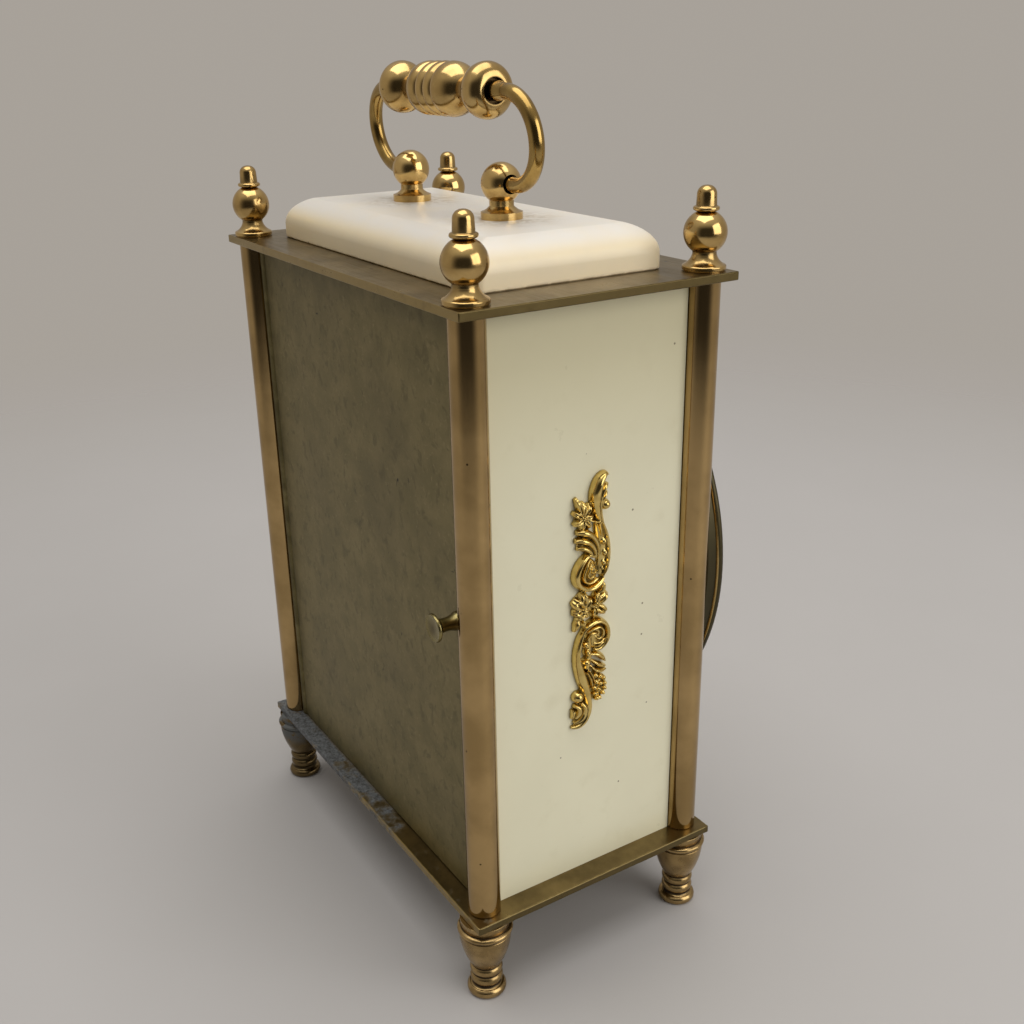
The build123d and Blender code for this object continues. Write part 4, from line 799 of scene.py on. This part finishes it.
def worn_plate(low, high, seed):
    """A plate with eased edges that wander a little, and a few small nicks."""
    step_mm = 1.5
    columns = round(2 * plate_half_width / step_mm)
    rows = round(2 * plate_half_depth / step_mm)
    form = bmesh.new()
    levels = []
    for height in (low, high):
        grid = []
        for row in range(rows + 1):
            y = plates_middle_y + plate_half_depth * (2 * row / rows - 1)
            grid.append([form.verts.new((plate_half_width * (2 * column / columns - 1), y, height))
                         for column in range(columns + 1)])
        levels.append(grid)
    for grid in levels:
        for row in range(rows):
            for column in range(columns):
                form.faces.new((grid[row][column], grid[row][column + 1],
                                grid[row + 1][column + 1], grid[row + 1][column]))
    lower, upper = (rim_loop(grid) for grid in levels)
    bridge(form, lower, upper)
    bmesh.ops.recalc_face_normals(form, faces=form.faces)
    wander(lower + upper, seed)
    return form


def rim_loop(grid):
    """The points round the edge of a grid, in order."""
    last_row, last_column = len(grid) - 1, len(grid[0]) - 1
    loop = [grid[0][column] for column in range(last_column)]
    loop += [grid[row][last_column] for row in range(last_row)]
    loop += [grid[last_row][column] for column in range(last_column, 0, -1)]
    loop += [grid[row][0] for row in range(last_row, 0, -1)]
    return loop


def wander(points, seed):
    """Draws points in from a plate's outline by up to a tenth of a millimetre, and more at a few nicks."""
    waves_per_mm, dents_per_mm = 0.13, 0.55
    wave_depth, dent_depth, dent_level = 0.05, 0.35, 0.42
    for point in points:
        x, y, z = point.co
        wave = noise.noise((x * waves_per_mm + seed, y * waves_per_mm, z * 0.5))
        dent = noise.noise((x * dents_per_mm, y * dents_per_mm + seed, z))
        inset = wave_depth * (wave + 1) + dent_depth * max(0, dent - dent_level)
        for axis, middle, half in ((0, 0, plate_half_width), (1, plates_middle_y, plate_half_depth)):
            offset = point.co[axis] - middle
            if abs(offset) > half - 0.01:
                point.co[axis] = middle + math.copysign(half - inset, offset)


for node, low, high, seed, material in (
        ("base_plate", base_low.z / MM, base_top, 3.7, "base_plate_brass"),
        ("top_plate", top_under, top_top, 8.2, "plate_brass")):
    finish_piece(node + "_worn", worn_plate(low, high, seed), Matrix.Identity(4),
                 material, "case", [node], ease_mm=0.22)


# Block


def cream_slab():
    """The block, with a round top edge that runs round its small upright corners."""
    low, high = (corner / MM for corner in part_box("top_block"))
    middle = (low + high) / 2
    half_x, half_y = (high.x - low.x) / 2, (high.y - low.y) / 2
    edge, foot_ease = 6.6, 0.3
    upright, upright_least, tightening = 2.5, 0.4, 0.35
    steps = 12
    sweep = math.radians(68)
    courses = [(foot_ease, low.z), (0, low.z + foot_ease), (0, high.z - edge)]
    for step in range(1, steps + 1):
        angle = sweep * step / steps
        inset = edge * (1 - math.cos(angle)) / (1 - math.cos(sweep))
        courses.append((inset, high.z - edge * (1 - math.sin(angle) / math.sin(sweep))))
    form = bmesh.new()
    rings = []
    for inset, height in courses:
        radius = max(upright - inset * tightening, upright_least)
        outline = rounded_corners(half_x - inset, half_y - inset, radius)
        rings.append([form.verts.new((middle.x + x, middle.y + y, height)) for x, y in outline])
    loft(form, rings)
    bmesh.ops.recalc_face_normals(form, faces=form.faces)
    return form


def rounded_corners(half_x, half_y, radius, steps=10):
    """A rectangle's outline with round corners."""
    points = []
    for quarter, (sign_x, sign_y) in enumerate(((1, 1), (-1, 1), (-1, -1), (1, -1))):
        for step in range(steps + 1):
            angle = math.pi / 2 * (quarter + step / steps)
            points.append((sign_x * (half_x - radius) + radius * math.cos(angle),
                           sign_y * (half_y - radius) + radius * math.sin(angle)))
    return points


finish_piece("top_block_rounded", cream_slab(), Matrix.Identity(4), "cream_block", "case",
             ["top_block"], crease=16.0)


# Side ornaments: strokes and lumps in millimetres on the panel, right and up from its middle
# Each stroke is a list of places, each with its half width and the height of its crest

ornament_strokes = {
    "tip_leaf": [
        (4.6, 32.3, 0.3, 0.9), (3.4, 32.8, 0.8, 1.9), (2.1, 31.9, 1.2, 2.4), (1.3, 30.4, 1.4, 2.6),
        (0.8, 28.4, 1.5, 2.5), (0.8, 26.2, 1.3, 2.2), (1.2, 23.8, 1.0, 2.0), (1.9, 21.6, 0.8, 1.8),
    ],
    "tip_lobe_one": [
        (4.5, 30.3, 0.3, 0.9), (3.4, 29.9, 0.7, 1.9), (2.5, 28.6, 0.6, 2.0), (2.0, 26.2, 0.5, 1.9),
        (2.2, 23.4, 0.45, 1.8), (2.7, 21.4, 0.4, 1.7),
    ],
    "tip_lobe_two": [
        (4.3, 28.5, 0.25, 0.8), (3.6, 28.0, 0.5, 1.6), (2.9, 27.0, 0.45, 1.7), (2.5, 25.4, 0.3, 1.4),
    ],
    "stem_body": [
        (1.4, 23.8, 0.8, 1.2), (2.0, 20.4, 1.3, 1.4), (2.7, 16.8, 1.5, 1.5), (3.0, 13.7, 1.4, 1.5),
        (2.8, 11.0, 1.3, 1.4), (2.1, 8.4, 1.0, 1.3),
    ],
    "stem_edge": [
        (2.6, 21.4, 0.4, 1.8), (3.4, 19.2, 0.55, 2.0), (4.1, 16.8, 0.6, 2.0), (4.4, 14.2, 0.6, 2.0),
        (4.3, 11.7, 0.6, 2.0), (3.8, 9.3, 0.5, 1.9), (2.9, 7.6, 0.4, 1.6),
    ],
    "stem_inner": [
        (1.5, 23.4, 0.4, 1.9), (1.6, 21.4, 0.45, 2.0), (2.1, 19.2, 0.45, 1.9), (2.4, 17.4, 0.3, 1.6),
    ],
    "twig": [(-1.4, 22.8, 0.3, 2.2), (0.5, 22.1, 0.32, 2.4), (2.1, 21.3, 0.25, 2.1)],
    "shell_body": [(-3.4, 18.2, 1.6, 1.1), (-1.0, 16.8, 2.2, 1.3), (0.9, 13.6, 1.2, 1.2)],
    "shell_one": [
        (-4.4, 20.0, 0.6, 1.4), (-3.0, 20.0, 1.05, 2.4), (-1.3, 19.3, 1.0, 2.6), (0.3, 17.6, 0.8, 2.4),
        (1.3, 15.4, 0.6, 2.1), (1.6, 13.2, 0.35, 1.6),
    ],
    "shell_two": [
        (-4.7, 18.0, 0.6, 1.3), (-2.9, 17.9, 0.95, 2.2), (-1.0, 16.9, 0.85, 2.4), (0.3, 15.0, 0.65, 2.2),
        (0.9, 12.8, 0.35, 1.6),
    ],
    "shell_three": [
        (-4.2, 16.1, 0.5, 1.2), (-2.5, 15.9, 0.8, 2.0), (-0.9, 14.8, 0.7, 2.1), (0.0, 13.2, 0.35, 1.6),
    ],
    "curl": [
        (0.5, 13.2, 0.35, 1.5), (-1.2, 13.9, 0.5, 2.0), (-2.5, 13.2, 0.65, 2.3), (-3.6, 12.0, 0.8, 2.4),
        (-4.4, 10.4, 0.9, 2.4), (-4.6, 8.7, 0.95, 2.4), (-4.0, 7.2, 0.95, 2.4), (-2.7, 6.1, 0.9, 2.4),
        (-1.0, 5.5, 0.85, 2.3), (0.7, 5.6, 0.8, 2.2), (2.1, 6.4, 0.7, 2.1), (3.2, 7.3, 0.4, 1.7),
    ],
    "curl_rib_one": [
        (-0.9, 12.8, 0.4, 1.6), (-1.9, 11.4, 0.5, 2.0), (-2.6, 9.8, 0.55, 2.1), (-2.6, 8.3, 0.55, 2.1),
        (-1.7, 7.3, 0.5, 2.1), (-0.2, 7.1, 0.5, 2.0), (1.4, 7.6, 0.35, 1.7),
    ],
    "curl_rib_two": [
        (-0.4, 11.8, 0.35, 1.5), (-1.1, 10.4, 0.45, 1.9), (-1.5, 9.1, 0.45, 1.9), (-0.9, 8.3, 0.4, 1.8),
        (0.4, 8.4, 0.35, 1.6),
    ],
    "curl_rib_three": [
        (0.2, 10.8, 0.3, 1.4), (-0.3, 9.8, 0.4, 1.7), (0.2, 9.2, 0.35, 1.6), (1.2, 9.3, 0.3, 1.4),
    ],
    "curl_leaf": [(2.4, 6.7, 0.4, 1.8), (3.0, 5.6, 0.75, 2.2), (2.7, 4.4, 0.7, 2.1), (1.7, 3.7, 0.35, 1.5)],
    "bud": [
        (-4.0, -1.5, 0.4, 1.2), (-4.2, -2.6, 0.85, 2.0), (-4.5, -3.7, 0.75, 1.9), (-4.9, -4.9, 0.3, 0.9),
    ],
    "bud_leaf": [(-2.7, -1.8, 0.3, 1.5), (-2.5, -2.9, 0.5, 2.1), (-2.3, -4.2, 0.3, 1.6)],
    "scroll": [
        (-2.6, -5.4, 0.5, 1.9), (-1.3, -4.1, 0.65, 2.3), (0.5, -3.4, 0.75, 2.5), (2.2, -3.6, 0.8, 2.5),
        (3.7, -4.8, 0.8, 2.5), (4.4, -6.7, 0.75, 2.4), (4.3, -8.6, 0.7, 2.3), (3.5, -10.1, 0.6, 2.1),
        (2.2, -11.0, 0.5, 1.9), (0.9, -11.0, 0.35, 1.5),
    ],
    "scroll_rib_one": [
        (-1.4, -5.8, 0.4, 1.8), (0.4, -5.1, 0.5, 2.1), (2.0, -5.1, 0.5, 2.1), (3.0, -6.3, 0.5, 2.1),
        (2.9, -7.7, 0.45, 2.0), (1.9, -8.2, 0.4, 1.8), (1.0, -7.6, 0.3, 1.5),
    ],
    "scroll_rib_two": [
        (-1.3, -7.6, 0.4, 1.6), (-0.4, -6.4, 0.5, 2.0), (0.8, -6.3, 0.45, 2.0), (1.6, -6.8, 0.3, 1.6),
    ],
    "scroll_rib_three": [(0.7, -9.3, 0.3, 1.4), (2.2, -9.3, 0.4, 1.9), (3.5, -8.5, 0.35, 1.8)],
    "scroll_rib_four": [(0.7, -10.2, 0.25, 1.3), (2.0, -10.2, 0.32, 1.7), (3.2, -9.5, 0.28, 1.6)],
    "low_stem": [
        (-2.3, -5.2, 0.5, 1.9), (-3.3, -6.9, 0.7, 2.1), (-3.9, -8.9, 0.8, 2.2), (-4.2, -11.0, 0.9, 2.2),
        (-4.0, -13.2, 1.1, 2.2), (-3.4, -15.4, 1.35, 2.2), (-2.6, -17.8, 1.5, 2.1), (-1.8, -20.2, 1.4, 2.0),
        (-1.1, -22.6, 1.2, 2.0), (-0.7, -24.9, 1.1, 2.0), (-0.8, -27.0, 1.1, 2.0), (-1.5, -28.8, 1.0, 2.0),
        (-2.7, -30.1, 0.9, 1.9), (-4.1, -30.7, 0.7, 1.6), (-5.5, -30.7, 0.4, 0.9),
    ],
    "lump_stem": [
        (-0.7, -7.4, 0.6, 1.4), (-0.8, -10.2, 0.9, 1.5), (-0.7, -13.0, 1.0, 1.5), (-1.3, -15.6, 0.7, 1.5),
    ],
    "fan_one": [
        (0.0, -12.0, 0.4, 1.5), (1.6, -12.4, 0.7, 1.9), (3.1, -13.6, 0.8, 1.9), (4.3, -15.1, 0.35, 1.1),
    ],
    "fan_two": [
        (-0.1, -13.4, 0.35, 1.5), (1.3, -14.7, 0.6, 2.0), (2.8, -15.7, 0.7, 1.9), (4.4, -16.5, 0.35, 1.1),
    ],
    "fan_three": [
        (-0.3, -14.9, 0.3, 1.5), (1.0, -16.4, 0.55, 1.8), (2.6, -17.2, 0.65, 1.8), (4.6, -17.4, 0.3, 1.0),
    ],
    "cluster_stem_one": [(-1.7, -16.2, 0.35, 2.2), (-0.5, -18.4, 0.4, 2.1), (0.2, -20.6, 0.3, 1.7)],
    "cluster_stem_two": [(-1.0, -15.9, 0.3, 2.0), (0.1, -17.8, 0.35, 1.9), (0.8, -19.4, 0.3, 1.6)],
    "foot_flute_one": [
        (-3.0, -24.2, 0.5, 1.7), (-2.2, -25.6, 0.85, 2.3), (-2.2, -27.2, 0.9, 2.3), (-3.1, -28.7, 0.8, 2.1),
        (-4.8, -29.6, 0.4, 1.3),
    ],
    "foot_flute_two": [
        (-4.9, -24.6, 0.5, 1.5), (-3.8, -25.4, 0.85, 2.2), (-3.7, -26.8, 0.85, 2.2), (-4.5, -28.2, 0.5, 1.5),
    ],
    "foot_flute_three": [(-5.3, -25.6, 0.35, 1.2), (-5.1, -26.8, 0.5, 1.6), (-5.4, -28.2, 0.3, 1.0)],
}
# Each lump has its place, its half sizes across and along, its turn in degrees and its height
ornament_lumps = [
    (2.8, 16.7, 0.95, 1.1, -20, 2.3), (3.1, 13.8, 0.85, 1.1, -5, 2.3), (2.9, 11.3, 0.75, 0.95, 10, 2.2),
    (2.6, 9.8, 0.6, 0.6, 0, 1.9),
    (-1.2, 9.3, 3.2, 3.7, 0, 1.2), (1.6, -7.2, 2.9, 4.0, 0, 1.2), (2.4, -21.2, 1.9, 3.5, 8, 1.0),
    (-3.4, -27.4, 1.9, 2.2, 0, 1.1), (-2.6, 1.6, 2.2, 3.2, 10, 1.1), (1.2, 0.6, 2.4, 2.4, 0, 1.0),
    (-2.8, 23.6, 2.0, 2.8, 10, 1.0),
    (-1.8, -9.0, 0.85, 1.1, 15, 2.2), (-1.4, -11.1, 0.75, 1.15, 0, 2.3), (-1.7, -13.5, 1.15, 0.95, 20, 2.5),
]
ornament_balls = [(3.7, 25.3, 1.35), (-3.8, -22.5, 1.6)]
ball_rise = 1.5
# Each blossom has its middle and its petals' tips, with each petal's half width
ornament_blossoms = [
    ((-2.7, 23.4), [(-4.6, 28.5, 0.75), (-5.4, 25.2, 0.8), (-5.2, 22.0, 0.75), (-3.2, 20.6, 0.65),
                    (-0.7, 20.6, 0.7), (0.0, 23.5, 0.65), (-0.8, 26.6, 0.75), (-2.7, 27.4, 0.6)]),
    ((-2.3, 0.3), [(-5.2, 3.4, 1.45), (-2.6, 5.0, 1.35), (-0.5, 3.4, 0.9), (-5.5, 0.2, 1.2),
                   (-4.3, -2.0, 0.9), (-1.6, -1.8, 0.7)]),
    ((0.9, 0.8), [(4.4, 3.4, 1.3), (4.2, -1.9, 1.25), (0.4, -2.4, 0.95), (1.5, 4.1, 1.0), (-1.0, 1.3, 0.5)]),
]
ornament_grapes = [
    (1.2, -18.0), (2.5, -18.6), (3.6, -19.4), (1.4, -19.8), (2.6, -20.6), (3.9, -20.9), (0.9, -21.3),
    (2.1, -22.0), (3.9, -22.2), (1.1, -23.0), (3.4, -23.4), (2.4, -24.4), (1.6, -24.4),
]
grape_radius, grape_height = 0.72, 2.0
# Along a petal: the share of its length, its half width as a share of its widest, and its crest
petal_stations = [(0.12, 0.3, 1.6), (0.45, 0.52, 2.1), (0.78, 0.58, 2.0), (1.0, 0.3, 0.9)]
ornament_voxel_mm = 0.15


def smooth_path(stations, steps=7):
    """Stations along a curve that passes through each given one."""
    given = np.array(stations, dtype=float)
    ends = np.vstack([2 * given[0] - given[1], given, 2 * given[-1] - given[-2]])
    path = []
    for before, here, after, beyond in zip(ends, ends[1:], ends[2:], ends[3:]):
        for share in np.arange(steps) / steps:
            path.append(0.5 * (2 * here + (after - before) * share
                               + (2 * before - 5 * here + 4 * after - beyond) * share**2
                               + (3 * here - before - 3 * after + beyond) * share**3))
    return np.array(path + [given[-1]])


def add_stroke(form, stations, across=10):
    """A ribbon with an arched section that stands on the panel."""
    path = smooth_path(stations)
    tangent = np.gradient(path[:, :2], axis=0)
    tangent /= np.linalg.norm(tangent, axis=1)[:, None]
    rings = []
    for (right, up, half, crest), (along_x, along_y) in zip(path, tangent):
        ring = []
        for step in range(across + 1):
            angle = math.pi * step / across
            side = max(half, 0.05) * math.cos(angle)
            rise = max(crest, 0.1) * math.sin(angle)
            ring.append(form.verts.new((right - along_y * side, up + along_x * side, rise)))
        rings.append(ring)
    loft(form, rings)


def add_lump(form, right, up, half_x, half_y, turn, height):
    """Half an egg that stands on the panel."""
    place = Matrix.Translation((right, up, 0)) @ Matrix.Rotation(math.radians(turn), 4, "Z")
    made = bmesh.ops.create_uvsphere(form, u_segments=20, v_segments=12, radius=1.0,
                                     matrix=place @ Matrix.Diagonal((half_x, half_y, height, 1)))
    for vertex in made["verts"]:
        vertex.co.z = max(vertex.co.z, 0)


def add_blossom(form, middle, petals):
    """Petals that spread from a ring of seeds, each with a crease along it."""
    for tip_x, tip_y, half in petals:
        reach = Vector((tip_x - middle[0], tip_y - middle[1]))
        aside = Vector((-reach.y, reach.x)).normalized() * half * 0.5
        for sign in (-1, 1):
            stations = []
            for share, width, crest in petal_stations:
                spread = sign * math.sin(math.pi * min(share, 0.8))
                place = Vector(middle) + reach * share + aside * spread
                stations.append((place.x, place.y, half * width, crest))
            add_stroke(form, stations)
    seeds, seed_ring, seed_radius, seed_height = 5, 0.5, 0.32, 2.4
    heart_radius, heart_height = 0.34, 2.6
    for step in range(seeds):
        angle = math.tau * step / seeds
        right = middle[0] + seed_ring * math.cos(angle)
        up = middle[1] + seed_ring * math.sin(angle)
        add_lump(form, right, up, seed_radius, seed_radius, 0, seed_height)
    add_lump(form, *middle, heart_radius, heart_radius, 0, heart_height)


def ornament_form():
    """Every stroke and lump of the casting."""
    form = bmesh.new()
    for stations in ornament_strokes.values():
        add_stroke(form, stations)
    for lump in ornament_lumps:
        add_lump(form, *lump)
    for right, up, radius in ornament_balls:
        add_lump(form, right, up, radius, radius, 0, ball_rise * radius)
    for middle, petals in ornament_blossoms:
        add_blossom(form, middle, petals)
    for right, up in ornament_grapes:
        add_lump(form, right, up, grape_radius, grape_radius, 0, grape_height)
    bmesh.ops.recalc_face_normals(form, faces=form.faces)
    return form


def melted(form, voxel_mm):
    """One smooth closed skin over all the forms, with a groove value in its hollows."""
    mesh = as_mesh("melting", form)
    holder = add_object("melting", mesh)
    skin = holder.modifiers.new("skin", "REMESH")
    skin.mode = "VOXEL"
    skin.voxel_size = voxel_mm
    soften = holder.modifiers.new("soften", "SMOOTH")
    soften.factor = 0.5
    soften.iterations = 2
    bpy.context.view_layer.update()
    result = bpy.data.meshes.new_from_object(holder.evaluated_get(bpy.context.evaluated_depsgraph_get()))
    bpy.data.objects.remove(holder)
    bpy.data.meshes.remove(mesh)
    whole = bmesh.new()
    whole.from_mesh(result)
    bpy.data.meshes.remove(result)
    mark_hollows(whole)
    return whole


def mark_hollows(form):
    """Gives each point a groove value, from how far its neighbours stand above it and raised near the panel;
    the gilt paints it as shade.
    """
    layer = form.verts.layers.float.new("groove")
    form.normal_update()
    form.verts.index_update()
    places = np.array([vertex.co for vertex in form.verts])
    normals = np.array([vertex.normal for vertex in form.verts])
    first, second = np.array([[end.index for end in edge.verts] for edge in form.edges]).T
    count = np.bincount(np.concatenate([first, second]), minlength=len(places))

    def near(values):
        """The mean of the neighbours' values."""
        total = np.zeros_like(values)
        np.add.at(total, first, values[second])
        np.add.at(total, second, values[first])
        return (total.T / count).T

    hollow = ((near(places) - places) * normals).sum(axis=1)
    rounds, near_weight = 3, 3
    for turn in range(rounds):
        hollow = (hollow + near_weight * near(hollow)) / (1 + near_weight)
    # Painted shade near the panel: low points of the casting get a groove value that rises towards the panel
    shallow, span, foot_height, foot_share = 0.001, 0.010, 0.7, 0.6
    depth = (hollow - shallow) / span
    low = foot_share * (foot_height - places[:, 2]) / foot_height
    for vertex, value in zip(form.verts, np.clip(np.maximum(depth, low), 0, 1)):
        vertex[layer] = value


def panel_frame(name, side):
    """The frame of a side panel's outer face: right, up and outward, seen from that side."""
    low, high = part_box("side_panel_" + name)
    face = (low if side < 0 else high).x / MM
    turn = Matrix(((0, 0, side), (side, 0, 0), (0, 1, 0))).to_4x4()
    return Matrix.Translation((face, plates_middle_y, dial_height)) @ turn


ornament = melted(ornament_form(), ornament_voxel_mm)
for name, side in sides.items():
    node = "side_ornament_" + name
    finish_piece(node + "_cast", ornament.copy(), panel_frame(name, side), "gilt", "case", [node])
ornament.free()


# Dial track: rings and ticks of thin paint round the numerals


def dial_track():
    """Two fine circles with a tick for each minute, and a longer bar at each five."""
    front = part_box("dial_plate")[0].y / MM
    inner, outer, thick, line_half, bar_half = 46.2, 47.5, 0.04, 0.09, 0.32
    form = bmesh.new()
    for radius in (inner, outer):
        add_ring(form, radius - line_half, radius + line_half, front, thick)
    for minute in range(60):
        half = bar_half if minute % 5 == 0 else line_half
        add_tick(form, math.tau * minute / 60, inner, outer, half, front, thick)
    bmesh.ops.recalc_face_normals(form, faces=form.faces)
    return form


def add_ring(form, inner, outer, front, thick, turns=180):
    """A flat ring round the dial's middle."""
    rings = []
    for radius, depth in ((inner, 0), (inner, thick), (outer, thick), (outer, 0)):
        rings.append([form.verts.new((radius * math.cos(math.tau * step / turns), front - depth,
                                      dial_height + radius * math.sin(math.tau * step / turns)))
                      for step in range(turns)])
    for first, second in zip(rings, rings[1:] + rings[:1]):
        bridge(form, first, second)


def add_tick(form, angle, inner, outer, half, front, thick):
    """A small bar that points at the dial's middle."""
    turn = Matrix.Translation((0, 0, dial_height)) @ Matrix.Rotation(angle, 4, "Y")
    corners_of_bar = [(x, front - y, z) for y in (0, thick) for x in (-half, half) for z in (inner, outer)]
    points = [form.verts.new(turn @ Vector(corner)) for corner in corners_of_bar]
    for loop in ((0, 1, 3, 2), (4, 6, 7, 5), (0, 4, 5, 1), (2, 3, 7, 6), (0, 2, 6, 4), (1, 5, 7, 3)):
        form.faces.new([points[index] for index in loop])


finish_piece("dial_track", dial_track(), Matrix.Identity(4), "black_paint", "case")


# Stage, light and camera

camera_azimuth = math.radians(237.720)
camera_elevation = math.radians(21.856)
camera_roll = math.radians(-1.004)
camera_place = Vector((-254.77, plates_middle_y + 145.82, base_top + 195.71)) * MM
camera_lens_mm = 41.045
room_pale = (0.39, 0.358, 0.32)
room_dim = (0.04, 0.037, 0.034)
room_ceiling = (0.62, 0.60, 0.57)
dim_start, dim_full = 0.3, 0.9
ceiling_start, ceiling_full = 0.35, 0.95


def camera_turn():
    """The camera's right, up and back directions."""
    flat = math.cos(camera_elevation)
    east, north = math.sin(camera_azimuth), -math.cos(camera_azimuth)
    back = Vector((east * flat, north * flat, math.sin(camera_elevation)))
    right = (-back).cross(Vector((0, 0, 1))).normalized()
    up = right.cross(-back)
    cosine, sine = math.cos(camera_roll), math.sin(camera_roll)
    return right * cosine + up * sine, up * cosine - right * sine, back


def add_camera():
    """The photograph's camera."""
    data = bpy.data.cameras.new("camera")
    data.lens = camera_lens_mm
    data.sensor_width = 36.0
    data.clip_start = 0.01
    camera = add_object("camera", data)
    turn = Matrix(camera_turn()).transposed().to_4x4()
    camera.matrix_world = Matrix.Translation(camera_place) @ turn
    bpy.context.scene.camera = camera


def add_floor():
    """A wide pale floor."""
    form = bmesh.new()
    bmesh.ops.create_circle(form, cap_ends=True, segments=96, radius=1.5)
    mesh = as_mesh("floor", form)
    mesh.materials.append(floor_paint())
    add_object("floor", mesh)


def add_lamp(name, place, target, width, height, watts, colour):
    """A soft rectangular lamp."""
    data = bpy.data.lights.new(name, "AREA")
    data.shape = "RECTANGLE"
    data.size = width
    data.size_y = height
    data.energy = watts
    data.color = colour
    lamp = add_object(name, data)
    lamp.location = place
    lamp.rotation_euler = (Vector(target) - Vector(place)).to_track_quat("-Z", "Y").to_euler()


def add_world():
    """A plain room: pale behind the object, dim on the camera's side, and lighter overhead."""
    world = bpy.data.worlds.new("room")
    bpy.context.scene.world = world
    world.use_nodes = True
    room = Nodes(world.node_tree)
    look = room.node("ShaderNodeTexCoord").outputs["Generated"]
    back = camera_turn()[2]
    dim_side = Vector((back.x, back.y, 0)).normalized()
    facing = room.node("ShaderNodeVectorMath", {0: look, 1: dim_side}, operation="DOT_PRODUCT")
    facing = facing.outputs["Value"]
    height = room.node("ShaderNodeSeparateXYZ", {"Vector": look}).outputs["Z"]
    colour = room.mix(room.band(facing, dim_start, dim_full), room_pale, room_dim)
    colour = room.mix(room.band(height, ceiling_start, ceiling_full), colour, room_ceiling)
    room.feed(room.tree.nodes["Background"].inputs["Color"], colour)


add_floor()
add_world()
add_lamp("window", (-1.05, -0.5, 0.5), (0, 0, 0.1), 0.9, 0.9, 6.5, (1.0, 0.98, 0.95))
add_lamp("ceiling", (0.0, 0.05, 1.35), (0, 0, 0.1), 1.2, 1.2, 10.0, (1.0, 0.98, 0.96))
add_camera()

view_settings = bpy.context.scene.view_settings
view_settings.view_transform = "Standard"
